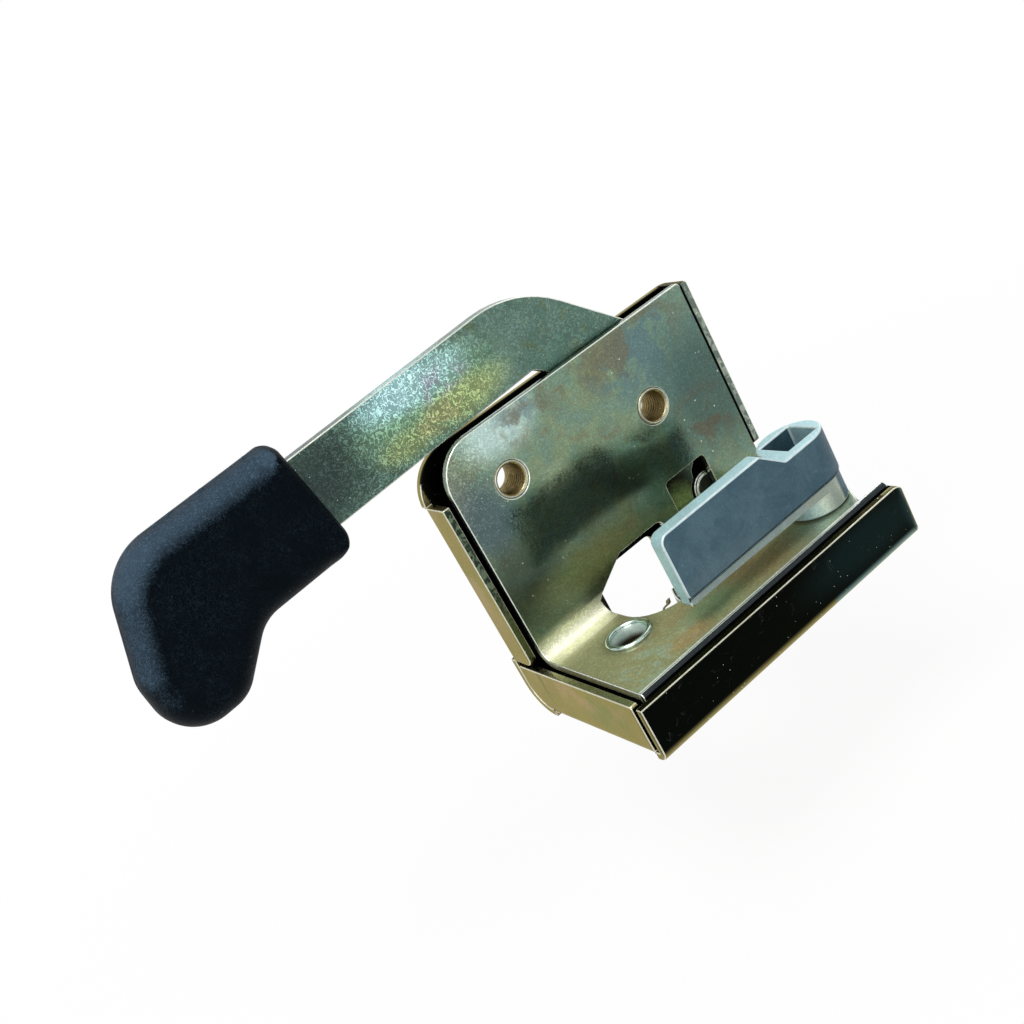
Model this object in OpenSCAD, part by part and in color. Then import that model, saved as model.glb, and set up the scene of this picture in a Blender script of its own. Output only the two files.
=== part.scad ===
// Cab door lock: a bent casing and its cover plate hold a claw that grips the door post's
// striker pin, a cast release arm with its pawl, and an inside lever handle.
// X runs along the bend, the tall leaf's front faces -Y, and Z is up.
// The origin is on the lever's pivot bush, level with the tall leaf's front face.

/* [Cover plate] */
// Length of the cover plate along its bend
plate_l = 100; // [96:1:120]
// Height of the tall leaf above the top of the narrow leaf
leaf_h = 71.5; // [68:0.5:85]
// Width of the narrow leaf from the front of the tall leaf
leaf_w = 50; // [49:0.5:60]
// Thickness of the sheet steel
sheet = 2.5; // [2:0.1:3]
// Inner radius of the bend between the two leaves
bend_r = 4; // [2:0.5:5]
// Radius of the tall leaf's upper left corner
corner_r = 13; // [8:0.5:16]
// Depth of the lip folded down along the narrow leaf's front
lip_drop = 7; // [4:0.5:8]
// Gap between the lip's right end and the casing's front return
lip_gap = 0.4; // [0.3:0.1:2]
// Length of the slanted cut at the narrow leaf's right end
slant_l = 9.2; // [6:0.1:12]
// Depth of that slanted cut, from the front
slant_w = 15.7; // [12:0.1:16]

/* [Casing] */
// Clear depth of the tall box, behind the tall leaf
box_gap = 8.3; // [8:0.1:12]
// Clear depth of the tray, below the narrow leaf
tray_gap = 13.7; // [13:0.1:18]
// Gap between the cover plate and the left flange
left_gap = 2; // [1:0.1:4]
// Gap between the cover plate and the right flange
right_gap = 0.3; // [0.2:0.1:2]
// Gap between the lip and the tray's front wall
front_gap = 1.5; // [0.5:0.1:3]
// Inner radius of the bend between the back wall and the tray
case_bend_r = 7.5; // [5:0.5:10]
// Outer radius of the flanges' bends
flange_r = 3.5; // [2.6:0.1:4.5]
// Height of the back wall's top edge above the narrow leaf
back_h = 70.5; // [66:0.5:80]
// Radius of the back wall's upper left corner
back_corner_r = 14; // [8:0.5:18]
// Height of the left flange's top end above the narrow leaf
left_flange_h = 57.3; // [50:0.1:60]
// Height of the right flange's top end above the narrow leaf
right_flange_h = 70.6; // [60:0.1:80]
// Drop of the tray's rim below the top of the narrow leaf
rim_drop = 0.9; // [0.5:0.1:3]
// Width of the open seams at the tray's corners
seam = 1; // [0.6:0.1:2]
// Depth of the return at the right end of the front wall
return_w = 7; // [5:0.5:10]
// Length of the front wall past the right flange
front_run = 1.7; // [0.5:0.1:3]
// Radius of the front wall's upper right corner
front_corner_r = 5; // [3:0.1:6]

/* [Striker mouth] */
// Start of the mouth in the cover plate, from its left end
mouth_x = 25.6; // [22:0.1:27]
// Width of the mouth
mouth_w = 31.4; // [28:0.1:33]
// Height of the mouth in the tall leaf
mouth_h = 12.2; // [9:0.1:15]
// Reach of the mouth into the narrow leaf
mouth_reach = 24.8; // [22:0.1:27]
// Radius at the mouth's inner left corner
mouth_r = 14; // [6:0.5:16]
// Step in from the cover plate's mouth to the casing's, at the left
mouth_step = 6.4; // [2:0.1:8]
// Height of the mouth in the casing's back wall
mouth_back_h = 5.6; // [3:0.1:9]

/* [Bushes] */
// Place of the lever's pivot bush along the bend
pivot_x = 72.4; // [70:0.1:75]
// Height of the lever's pivot bush above the narrow leaf
pivot_z = 44; // [42:0.1:47]
// Place of the left bush along the bend
left_bush_x = 19.2; // [14:0.1:25]
// Height of the left bush above the narrow leaf
left_bush_z = 52.6; // [44:0.1:54]
// Outer radius of the threaded bushes
bush_r = 7.5; // [7:0.1:8.5]
// Radius of the bushes' necks in the sheet
neck_r = 5.7; // [5.6:0.05:6.2]
// Bore radius of the threaded bushes
thread_r = 4.6; // [4:0.1:4.8]
// Chamfer at the mouths of the bores
chamfer = 0.55; // [0.3:0.05:0.9]
// Place of the edge bush along the bend
edge_bush_x = 18.3; // [14:0.1:20]
// Distance of the edge bush from the tall leaf's front
edge_bush_y = 21; // [16:0.1:26]
// Bore radius of the edge bush
edge_bore_r = 5; // [4:0.1:5.2]
// Outer radius of the edge bush
edge_bush_r = 7.4; // [7.2:0.1:9]
// Height of the edge bush's rolled rim
rolled_rim_h = 1.2; // [0.6:0.1:1.6]

/* [Window] */
// Start of the window in the tall leaf, from its left end
window_x = 63.8; // [60:0.1:66]
// Width of the window
window_w = 17.2; // [14:0.1:20]
// Height of the window's lower edge above the narrow leaf
window_z = 7.5; // [6.5:0.1:9]
// Height of the window
window_h = 13.3; // [10:0.1:15]
// Radius of the window's corners
window_r = 1.5; // [0.5:0.1:3]

/* [Lever handle] */
// Thickness of the lever
lever_t = 4; // [3:0.1:4.5]
// Width of the lever's strip
lever_w = 23.6; // [20:0.1:27]
// Height of the strip's lower edge above the pivot
lever_rise = 31.8; // [30:0.1:35]
// Tilt of the strip at rest
lever_tilt = 3; // [2:0.1:4]
// Reach of the strip from the pivot
lever_reach = 150; // [145:1:165]
// Radius of the strip's shoulder
shoulder_r = 36; // [15:1:38]
// Half width of the lever's body at the pivot
lever_body_r = 17; // [15:0.1:18]
// Gap between the lever and the cover plate
lever_gap = 1.5; // [1:0.1:1.8]

/* [Grip] */
// Height of the grip's mouth
grip_h = 38.6; // [36:0.1:44]
// Length of the grip along the strip
grip_l = 66.3; // [64:0.1:75]
// Depth of the grip's toe below its top
toe_h = 52.3; // [50:0.1:60]
// Thickness of the grip
grip_t = 19; // [18:0.5:22]
// Radius of the grip's rounded edges
grip_edge_r = 8.5; // [5:0.5:9]
// Distance from the pivot to the grip's mouth
grip_from_pivot = 103.6; // [100:0.1:108]

/* [Release arm] */
// Place of the release arm's axis along the bend
shaft_x = 87.5; // [86.5:0.1:88.5]
// Distance of the release arm's axis from the tall leaf's front
shaft_y = 34.8; // [34:0.1:36]
// Radius of the arm's boss
boss_r = 10.2; // [9.5:0.1:11]
// Height of the boss's top above the narrow leaf
boss_top = 23.8; // [20:0.1:26]
// Height of the boss's foot above the narrow leaf
boss_foot = 0.6; // [0.4:0.1:1]
// Length of the arm from its axis
arm_l = 59; // [50:0.5:65]
// Thickness of the arm
arm_t = 5.5; // [4:0.1:7]
// Height of the arm's top above the narrow leaf
arm_top = 30.2; // [27:0.1:34]
// Height of the arm's foot above the narrow leaf
arm_foot = 7; // [5:0.1:8]
// Height of the set-back strip along the arm's foot
parting_h = 2.6; // [1:0.1:4]
// Side of the square socket in the boss
socket_w = 12.4; // [10:0.1:13]
// Depth of the square socket
socket_d = 14; // [8:0.5:15]

/* [Latch] */
// Radius of the latch shaft
shaft_r = 6; // [5:0.1:6.5]
// Depth of the flat on the latch shaft
shaft_flat = 1.2; // [0.6:0.1:1.6]
// Place of the claw's axis along the bend
claw_x = 66; // [65.5:0.1:66.5]
// Distance of the claw's axis from the tall leaf's front
claw_y = 18; // [17.5:0.1:18.5]
// Radius of the claw's jaws
claw_r = 24; // [22:0.1:24.5]
// Radius of the claw's rim under the pawl
rim_r = 19; // [17:0.1:19]
// Thickness of the claw and the pawl
claw_t = 6; // [4:0.1:6.3]
// Width of the claw's slot for the striker pin
slot_w = 11.2; // [9:0.1:12]
// Direction of the slot when the claw is open
slot_angle = 130; // [125:1:135]
// Radius of the claw's pivot rivet
rivet_r = 4.5; // [3.5:0.1:5]
// Radius of the drive roller
roller_r = 5.6; // [4.5:0.1:6]
// Distance of the roller's axis to the right of the pivot bush's axis
roller_x = 7.1; // [6.5:0.1:7.5]
// Height of the roller's axis above the narrow leaf
roller_z = 9; // [8:0.1:10]
// Thickness of the release finger
finger_t = 2.5; // [1.5:0.1:2.8]
// Width of the release finger
finger_w = 8; // [6:0.1:9]
// Radius of the spring wire
wire_r = 0.6; // [0.4:0.05:0.7]

/* [Clearances] */
// Radial clearance of a running fit
running = 0.05; // [0.02:0.01:0.1]
// Radial clearance of a fixed piece in its seat
seat = 0.02; // [0:0.01:0.05]
// Gap between pieces that pass each other
pass = 0.4; // [0.3:0.05:0.6]

/* [Hidden] */
$fn = 48;
CORNER_STEPS = 8;
SPILL = 1;

// Derived planes, measured from the corner where the leaves' faces meet at the left end
back_in = sheet + box_gap;
back_out = back_in + sheet;
tray_in = -sheet - tray_gap;
tray_out = tray_in - sheet;
left_in = -left_gap;
left_out = left_in - sheet;
right_in = plate_l + right_gap;
right_out = right_in + sheet;
front_in = -leaf_w - front_gap;
front_out = front_in - sheet;
case_l = right_out - left_out;
mouth_end = mouth_x + mouth_w;

// Derived places of the moving pieces
lever_front = sheet + lever_gap;
lever_back = lever_front + lever_t;
shaft = [shaft_x, -shaft_y];
claw_axis = [claw_x, -claw_y];
finger_top = -sheet - 1.1;
finger_foot = finger_top - finger_t;
pawl_foot = finger_foot - claw_t;
claw_top = finger_foot - pass;
claw_foot = claw_top - claw_t;
roller_front = sheet + 0.7;
roller_back = roller_front + 3.3;
roller_neck_r = 2;
roller_rim_h = 0.4;

// Tail of the lever with its hollow, and the stop beside it
lever_turn = 10;
hollow_r = roller_r + pass;
roller_fall = (pivot_z - roller_z) * (1 - cos(lever_turn)) + roller_x * sin(lever_turn);
tail_half = 13.5;
tail_end = pivot_z - 4.5;
stop_r = 3.5;
stop_x = pivot_x - tail_half - stop_r - 2.5;
stop_z = pivot_z - 24;

// Circlip below the tray
circlip_t = 1;
circlip_foot = tray_out - pass - circlip_t;
groove_r = shaft_r - 0.8;

// Seat of the latch shaft in the arm, and its cross pin
shaft_seat_top = boss_top - socket_d - 1.5;
pin_r = 1.25;
pin_z = 4;
pin_half = 4;

// Legs of the springs
handle_legs = [14, 10];
release_legs = [6, 8];
claw_legs = [28.5, 5];

// Borders between the panels of the folded sheets, all across flat metal
border = seam / 2;
left_border = left_out + flange_r + border;
right_border = right_out - flange_r - border;
tray_border = tray_in + case_bend_r + border;
front_border = front_out + flange_r + border;
return_border = right_in + front_run - border;
leaf_border = bend_r + border;
lip_border = -leaf_w + sheet + border;
FAR = 400;

ZINC = [0.56, 0.56, 0.4];
GOLD = [0.64, 0.58, 0.36];
BRASS = [0.55, 0.42, 0.2];
CAST = [0.42, 0.5, 0.53];
BLACK = [0.07, 0.09, 0.12];
STEEL = [0.6, 0.62, 0.6];

// Unit vector along v
function unit(v) = v / norm(v);

// Arc that rounds the corner p between its neighbours a and b, as a list of points
function corner_arc(p, a, b, r) =
    let (
        u = unit(a - p),
        v = unit(b - p),
        half = acos(u * v) / 2,
        centre = p + unit(u + v) * r / sin(half),
        start = p + u * r / tan(half) - centre,
        from = atan2(start.y, start.x),
        turn = (180 - 2 * half) * sign(cross(u, v)) * -1
    )
    [for (i = [0 : CORNER_STEPS])
        centre + r * [cos(from + turn * i / CORNER_STEPS), sin(from + turn * i / CORNER_STEPS)]];

// Outline through corners [x, y, radius]; a radius of 0 leaves a corner sharp
function rounded(corners) =
    let (n = len(corners), at = [for (c = corners) [c.x, c.y]])
    [for (i = [0 : n - 1])
        each (corners[i].z == 0
            ? [at[i]]
            : corner_arc(at[i], at[(i + n - 1) % n], at[(i + 1) % n], corners[i].z))];

// Moves a piece laid out from the plate's lower left corner to the pivot bush
module from_corner() {
    translate([-pivot_x, 0, -pivot_z]) children();
}

// Carries a Y-Z outline along X
module along_x(from, length) {
    translate([from, 0, 0]) rotate([90, 0, 90]) linear_extrude(length) children();
}

// Carries an X-Z outline along Y
module along_y(from, length) {
    translate([0, from + length, 0]) rotate([90, 0, 0]) linear_extrude(length) children();
}

// Carries an X-Y outline along Z
module along_z(from, length) {
    translate([0, 0, from]) linear_extrude(length) children();
}

// Round bar along Y
module bar_y(x, z, r, from, length) {
    translate([x, from + length, z]) rotate([90, 0, 0]) cylinder(r = r, h = length);
}

// Round bar along Z
module bar_z(at, r, from, length) {
    translate([at.x, at.y, from]) cylinder(r = r, h = length);
}

// What rounding takes off a square corner at the origin, in the first quadrant
module corner_waste(r) {
    difference() {
        translate([-SPILL, -SPILL]) square(r + SPILL);
        translate([r, r]) circle(r);
    }
}

// Block between two opposite corners
module block(from, to) {
    translate(from) cube(to - from);
}

// Wire of round section swept along a path; up is a direction that the path never takes
module wire(path, r, up) {
    sides = 8;
    last = len(path) - 1;
    points = [for (i = [0 : last])
        let (
            along = unit(path[min(i + 1, last)] - path[max(i - 1, 0)]),
            across = unit(cross(along, up)),
            rise = cross(across, along)
        )
        for (k = [0 : sides - 1])
            path[i] + r * (cos(360 * k / sides) * across + sin(360 * k / sides) * rise)];
    skin = [for (i = [0 : last - 1], k = [0 : sides - 1])
        [i * sides + k, i * sides + (k + 1) % sides, (i + 1) * sides + (k + 1) % sides, (i + 1) * sides + k]];
    start = [for (k = [sides - 1 : -1 : 0]) k];
    end = [for (k = [0 : sides - 1]) last * sides + k];
    polyhedron(points, concat([start], skin, [end]));
}

// Torsion spring about Z: a straight leg, part of a coil and a second straight leg
module torsion_spring(coil_r, turn_from, turn, pitch, leg_in, leg_out) {
    steps = 28;
    coil = [for (i = [0 : steps])
        let (a = turn_from + turn * i / steps)
        [coil_r * cos(a), coil_r * sin(a), pitch * i / steps]];
    into = [-sin(turn_from), cos(turn_from), 0] * sign(turn);
    away = [-sin(turn_from + turn), cos(turn_from + turn), 0] * sign(turn);
    wire(concat([coil[0] - into * leg_in], coil, [coil[steps] + away * leg_out]), wire_r, [0, 0, 1]);
}

// Outline of the mouth in the tall leaf, seen from the front
module mouth_front(left, right, height) {
    slope = height + 0.9;
    polygon(rounded([
        [left, tray_out - SPILL, 0],
        [left, height * 0.35, 3],
        [left + slope, height, 2],
        [right, height, 3],
        [right, tray_out - SPILL, 0]
    ]));
}

// Outline of the mouth in the narrow leaf or the tray, seen from above
module mouth_plan(left, right, radius) {
    polygon(rounded([
        [left, back_out + SPILL, 0],
        [left, -mouth_reach, radius],
        [right, -mouth_reach, 4],
        [right, back_out + SPILL, 0]
    ]));
}

// The casing, folded from one sheet
module casing_sheet() {
    panel_end = back_in - seam / 2;
    panel_front = front_in + seam + sheet / 2;
    front_end = rounded([
        [front_in + return_w, tray_out, 0],
        [front_out, tray_out, flange_r],
        [front_out, -rim_drop, 0],
        [front_in, -rim_drop, 0],
        [front_in, tray_in, flange_r - sheet + 0.1],
        [front_in + return_w, tray_in, 0]
    ]);
    difference() {
        union() {
            // Back wall, bend, tray floor and front wall from one strip
            along_x(left_out, case_l) polygon(rounded([
                [back_out, back_h, 0],
                [back_out, tray_out, case_bend_r + sheet],
                [front_out, tray_out, flange_r],
                [front_out, -rim_drop, 0],
                [front_in, -rim_drop, 0],
                [front_in, tray_in, flange_r - sheet + 0.1],
                [back_in, tray_in, case_bend_r],
                [back_in, back_h, 0]
            ]));
            // Left flange with its round lower end
            along_x(left_out, sheet) polygon(rounded([
                [0, left_flange_h, 0],
                [0, seam, 3],
                [back_out - SPILL, seam, 0],
                [back_out - SPILL, left_flange_h, 0]
            ]));
            // Right flange
            along_x(right_in, sheet) polygon(rounded([
                [0, right_flange_h, 1],
                [0, mouth_h, 1],
                [back_out - SPILL, mouth_h, 0],
                [back_out - SPILL, right_flange_h, 0]
            ]));
            // Left end panel of the tray, folded up from its floor
            along_x(left_out, sheet) {
                polygon(rounded([
                    [panel_end, -rim_drop, 0],
                    [panel_end, tray_in + seam / 2, case_bend_r - seam / 2],
                    [panel_front, tray_in + seam / 2, 0],
                    [panel_front, -rim_drop, 1]
                ]));
                translate([panel_front, tray_out])
                    square([back_in - case_bend_r - panel_front, sheet + seam]);
            }
            // Right end of the front wall with its return
            along_x(right_out - SPILL, front_run + SPILL) polygon(front_end);
            along_x(right_in + front_run, sheet) polygon(rounded([
                [front_out, -rim_drop, 0],
                [front_out, tray_out, flange_r],
                [front_in + return_w, tray_out, 0],
                [front_in + return_w, tray_in, 0],
                [front_in + return_w - 2, -rim_drop, 2]
            ]));
        }
        // The back wall's upper left corner, and its free upper left edge
        along_y(back_in - SPILL, sheet + 2 * SPILL)
            translate([left_out, back_h]) mirror([0, 1]) corner_waste(back_corner_r);
        // Outer corners of the flanges' bends
        along_z(seam, left_flange_h - seam)
            translate([left_out, back_out]) mirror([0, 1]) corner_waste(flange_r);
        along_z(mouth_h, right_flange_h)
            translate([right_out, back_out]) rotate(180) corner_waste(flange_r);
        along_z(tray_out - SPILL, -tray_out + SPILL)
            translate([right_out + front_run, front_out]) mirror([1, 0]) corner_waste(flange_r);
        along_y(panel_front, panel_end - case_bend_r - panel_front)
            translate([left_out, tray_out]) corner_waste(flange_r);
        // Upper and lower right corners of the front wall, through its return
        along_y(front_out - SPILL, return_w + sheet + 2 * SPILL) {
            translate([right_out + front_run, -rim_drop]) rotate(180) corner_waste(front_corner_r);
            translate([right_out + front_run, tray_out]) mirror([1, 0]) corner_waste(flange_r);
        }
        // Seams: left flange to end panel, and end panel to front wall
        along_x(left_out - SPILL, left_gap + sheet + SPILL) translate([-SPILL, -rim_drop])
            square([back_in + SPILL - case_bend_r / 2, rim_drop + seam]);
        along_x(left_out - SPILL, sheet + SPILL) translate([front_in, tray_in])
            square([panel_front - front_in, -tray_in]);
        // Striker mouth round the bend
        along_y(back_in - case_bend_r, case_bend_r + sheet + SPILL)
            mouth_front(mouth_x + mouth_step, mouth_end, mouth_back_h);
        along_z(tray_out - SPILL, sheet + case_bend_r)
            mouth_plan(mouth_x + mouth_step, mouth_end, mouth_r - mouth_step);
        // Seats of the bushes and the claw's rivet
        bar_y(pivot_x, pivot_z, neck_r + seat, back_in - SPILL, sheet + 2 * SPILL);
        bar_y(left_bush_x, left_bush_z, neck_r + seat, back_in - SPILL, sheet + 2 * SPILL);
        bar_z([edge_bush_x, -edge_bush_y], neck_r + seat, tray_out - SPILL, sheet + 2 * SPILL);
        bar_z(shaft, shaft_r + 2 + seat, tray_out - SPILL, sheet + 2 * SPILL);
        bar_z(claw_axis, rivet_r - 1 + seat, tray_out - SPILL, sheet + 2 * SPILL);
        // Seat of the lever stop's rivet end
        bar_y(stop_x, stop_z, stop_r - 1.5 + seat, back_in - SPILL, sheet + 2 * SPILL);
    }
}

// Space of the left flange, down to its seam
module left_flange_space() {
    block([-FAR, -FAR, seam / 4], [left_border, FAR, FAR]);
}

// Space of the right flange, down to its lower end
module right_flange_space() {
    block([right_border, -FAR, mouth_h - seam], [FAR, FAR, FAR]);
}

// Space of the tray's front wall and its return
module front_wall_space() {
    block([-FAR, -FAR, -FAR], [FAR, front_border, border]);
    block([return_border, -FAR, -FAR], [FAR, front_in + return_w + seam, border]);
}

// Space of the tray: all below the seam, and the back wall up to the end of the bend
module tray_space() {
    block([-FAR, -FAR, -FAR], [FAR, FAR, tray_border]);
    block([-FAR, -FAR, -FAR], [FAR, back_in - seam / 4, seam / 4]);
}

module casing_back() {
    color(GOLD) from_corner() difference() {
        casing_sheet();
        left_flange_space();
        right_flange_space();
        tray_space();
    }
}

module casing_tray() {
    color(GOLD) from_corner() difference() {
        intersection() {
            casing_sheet();
            tray_space();
        }
        front_wall_space();
    }
}

module front_wall() {
    color(GOLD) from_corner() intersection() {
        casing_sheet();
        front_wall_space();
    }
}

module left_flange() {
    color(GOLD) from_corner() intersection() {
        casing_sheet();
        left_flange_space();
    }
}

module right_flange() {
    color(GOLD) from_corner() intersection() {
        casing_sheet();
        right_flange_space();
    }
}

// The cover plate, folded from one sheet
module cover_sheet() {
    difference() {
        union() {
            // Tall leaf
            along_y(0, sheet) polygon(rounded([
                [0, bend_r, 0],
                [plate_l, bend_r, 0],
                [plate_l, leaf_h, 1.5],
                [0, leaf_h, corner_r]
            ]));
            // Bend
            along_x(0, plate_l) difference() {
                translate([-bend_r, bend_r]) circle(bend_r + sheet);
                translate([-bend_r, bend_r]) circle(bend_r);
                translate([-2 * bend_r - sheet - SPILL, -sheet - SPILL])
                    square([bend_r + sheet + SPILL, 3 * bend_r + 2 * sheet]);
                translate([-bend_r - SPILL, bend_r]) square([bend_r + sheet + 2 * SPILL, bend_r + 2 * sheet]);
            }
            // Narrow leaf with its slanted right end
            along_z(-sheet, sheet) polygon([
                [0, -bend_r],
                [plate_l, -bend_r],
                [plate_l, -leaf_w + slant_w],
                [plate_l - slant_l, -leaf_w + sheet / 2],
                [0, -leaf_w + sheet / 2]
            ]);
            // Lip folded down along the front
            along_x(0, right_in + front_run - lip_gap) polygon(rounded([
                [-leaf_w, 0, 1.5],
                [-leaf_w, -lip_drop, 0],
                [-leaf_w + sheet, -lip_drop, 0],
                [-leaf_w + sheet, 0, 0.5]
            ]));
        }
        // Window over the lever's tail
        along_y(-SPILL, sheet + 2 * SPILL) polygon(rounded([
            [window_x, window_z, window_r],
            [window_x + window_w, window_z, window_r],
            [window_x + window_w, window_z + window_h, window_r],
            [window_x, window_z + window_h, window_r]
        ]));
        // Striker mouth across the bend
        along_y(-bend_r - SPILL, bend_r + sheet + 2 * SPILL) mouth_front(mouth_x, mouth_end, mouth_h);
        along_z(-sheet - SPILL, bend_r + sheet + SPILL) mouth_plan(mouth_x, mouth_end, mouth_r);
        // Seats of the bushes and the claw's rivet
        bar_y(pivot_x, pivot_z, neck_r + seat, -SPILL, sheet + 2 * SPILL);
        bar_y(left_bush_x, left_bush_z, neck_r + seat, -SPILL, sheet + 2 * SPILL);
        bar_z([edge_bush_x, -edge_bush_y], neck_r + seat, -sheet - SPILL, sheet + 2 * SPILL);
        bar_z(shaft, shaft_r + 2 + seat, -sheet - SPILL, sheet + 2 * SPILL);
        bar_z(claw_axis, rivet_r - 1 + seat, -sheet - SPILL, sheet + 2 * SPILL);
    }
}

module tall_leaf() {
    color(ZINC) from_corner() intersection() {
        cover_sheet();
        block([-FAR, -FAR, leaf_border], [FAR, FAR, FAR]);
    }
}

module narrow_leaf() {
    color(ZINC) from_corner() intersection() {
        cover_sheet();
        block([-FAR, lip_border, -FAR], [FAR, FAR, leaf_border]);
    }
}

module front_lip() {
    color(ZINC) from_corner() intersection() {
        cover_sheet();
        block([-FAR, -FAR, -FAR], [FAR, lip_border, leaf_border]);
    }
}

// Half section of a threaded bush from the front face at 0; rim is how far it stands proud
module bush_section(rim) {
    polygon([
        [thread_r + chamfer, -rim],
        [neck_r - chamfer / 2, -rim],
        [neck_r, -rim + chamfer / 2],
        [neck_r, sheet],
        [bush_r, sheet],
        [bush_r, back_in],
        [neck_r, back_in],
        [neck_r, back_out],
        [thread_r + chamfer, back_out],
        [thread_r, back_out - chamfer],
        [thread_r, chamfer - rim]
    ]);
}

module left_bush() {
    color(BRASS) from_corner() translate([left_bush_x, 0, left_bush_z])
        rotate([-90, 0, 0]) rotate_extrude() bush_section(0);
}

module pivot_bush() {
    color(BRASS) rotate([-90, 0, 0]) rotate_extrude() bush_section(chamfer);
}

module edge_bush() {
    color(STEEL) from_corner() translate([edge_bush_x, -edge_bush_y, 0]) rotate_extrude() difference() {
        union() {
            translate([0, tray_in]) square([edge_bush_r, tray_gap]);
            translate([0, tray_out]) square([neck_r, -tray_out + rolled_rim_h / 2]);
            translate([edge_bore_r, 0]) square([edge_bush_r - edge_bore_r - rolled_rim_h, rolled_rim_h]);
            intersection() {
                translate([edge_bush_r - rolled_rim_h, 0]) circle(rolled_rim_h);
                square([edge_bush_r, rolled_rim_h]);
            }
        }
        translate([-SPILL, tray_out - SPILL]) square([edge_bore_r + SPILL, rolled_rim_h - tray_out + 2 * SPILL]);
    }
}

module claw_rivet() {
    head_h = 1.8;
    color(STEEL) from_corner() translate([claw_axis.x, claw_axis.y, 0]) {
        translate([0, 0, tray_in]) cylinder(r = rivet_r, h = tray_gap);
        translate([0, 0, tray_out]) cylinder(r = rivet_r - 1, h = -tray_out);
        cylinder(r1 = rivet_r + 2, r2 = rivet_r, h = head_h);
        translate([0, 0, tray_out - head_h]) cylinder(r1 = rivet_r, r2 = rivet_r + 2, h = head_h);
    }
}

// Flanged bush of the latch shaft; its flange is at the origin and its body rises through the sheet
module shaft_bush(flange_h) {
    body_r = shaft_r + 2;
    difference() {
        union() {
            translate([0, 0, -flange_h]) cylinder(r = body_r + 1.6, h = flange_h);
            cylinder(r = body_r, h = sheet);
        }
        translate([0, 0, -flange_h - SPILL]) cylinder(r = shaft_r + running, h = sheet + flange_h + 2 * SPILL);
    }
}

module upper_shaft_bush() {
    color(BRASS) from_corner() translate([shaft.x, shaft.y, -sheet]) shaft_bush(0.7);
}

module lower_shaft_bush() {
    color(BRASS) from_corner() translate([shaft.x, shaft.y, tray_in]) mirror([0, 0, 1]) shaft_bush(0.7);
}

// Stop on the back wall, beside the lever's tail
module lever_stop() {
    color(STEEL) from_corner() {
        bar_y(stop_x, stop_z, stop_r, lever_front, back_in - lever_front);
        bar_y(stop_x, stop_z, stop_r - 1.5, back_in, sheet);
    }
}

module lever_washer() {
    color(STEEL) difference() {
        bar_y(0, 0, bush_r + 4.5, sheet, lever_gap - running);
        bar_y(0, 0, bush_r + running, sheet - SPILL, lever_gap + 2 * SPILL);
    }
}

module handle_spring() {
    room = back_in - lever_back;
    color(STEEL) translate([0, lever_back + room / 2 - wire_r / 2, 0]) rotate([-90, 0, 0])
        torsion_spring(bush_r + 2 * wire_r + pass, 20, 250, wire_r, handle_legs[0], handle_legs[1]);
}

module release_spring() {
    color(STEEL) from_corner() translate([shaft.x, shaft.y, (pawl_foot + tray_in + 0.7) / 2 - wire_r / 2])
        torsion_spring(shaft_r + 2 * wire_r + pass, 100, 250, wire_r, release_legs[0], release_legs[1]);
}

module claw_spring() {
    color(STEEL) from_corner() translate([claw_axis.x, claw_axis.y, (claw_top - sheet) / 2 - wire_r / 2])
        torsion_spring(rivet_r + 2.5 + 2 * wire_r, 264.7, 250, wire_r, claw_legs[0], claw_legs[1]);
}

// Lever: the strip, its shoulder, the body round the pivot and the tail that drives the roller
module lever_outline() {
    strip_top = lever_rise + lever_w;
    polygon(rounded([
        [-lever_reach, lever_rise, 2],
        [-lever_reach, strip_top, 2],
        [-lever_w * 0.78, strip_top, shoulder_r],
        [lever_body_r, lever_body_r, 10],
        [lever_body_r - 3, -lever_body_r, 8],
        [roller_x - hollow_r + 2, -pivot_z + roller_z + roller_r + 2, 2],
        [roller_x - hollow_r - 1.5, -tail_end, 2],
        [-tail_half, -tail_end, 5],
        [-tail_half, -lever_body_r, 12],
        [-lever_body_r, 0, 10],
        [-lever_body_r - 5.4, lever_rise - 3.7, 2],
        [-lever_body_r - 9.8, lever_rise, 2]
    ]));
}

module handle_lever() {
    color(ZINC) difference() {
        rotate([0, -lever_tilt, 0]) along_y(lever_front, lever_t) lever_outline();
        bar_y(0, 0, bush_r + running, lever_front - SPILL, lever_t + 2 * SPILL);
        // Hollow in the tail that takes the roller, and the roller's fall as the lever turns
        bar_y(roller_x, roller_z - pivot_z, hollow_r, lever_front - SPILL, lever_t + 2 * SPILL);
        bar_y(roller_x, roller_z - pivot_z - roller_fall, hollow_r, lever_front - SPILL, lever_t + 2 * SPILL);
        along_y(lever_front - SPILL, lever_t + 2 * SPILL)
            translate([roller_x - hollow_r, roller_z - pivot_z - roller_fall]) square([hollow_r, roller_fall]);
    }
}

// Grip outline from the middle of its mouth: a boot with its toe turned down
function grip_outline() =
    let (
        half = grip_h / 2,
        toe = half - toe_h
    )
    rounded([
        [-0.8, half, 4],
        [3, -half, 7],
        [-29.6, -half, 11],
        [-44.8, toe, 12],
        [-grip_l, toe, 13.5],
        [-grip_l, toe + 20.9, 12],
        [-grip_l + 12.1, half, 19]
    ]);

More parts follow.
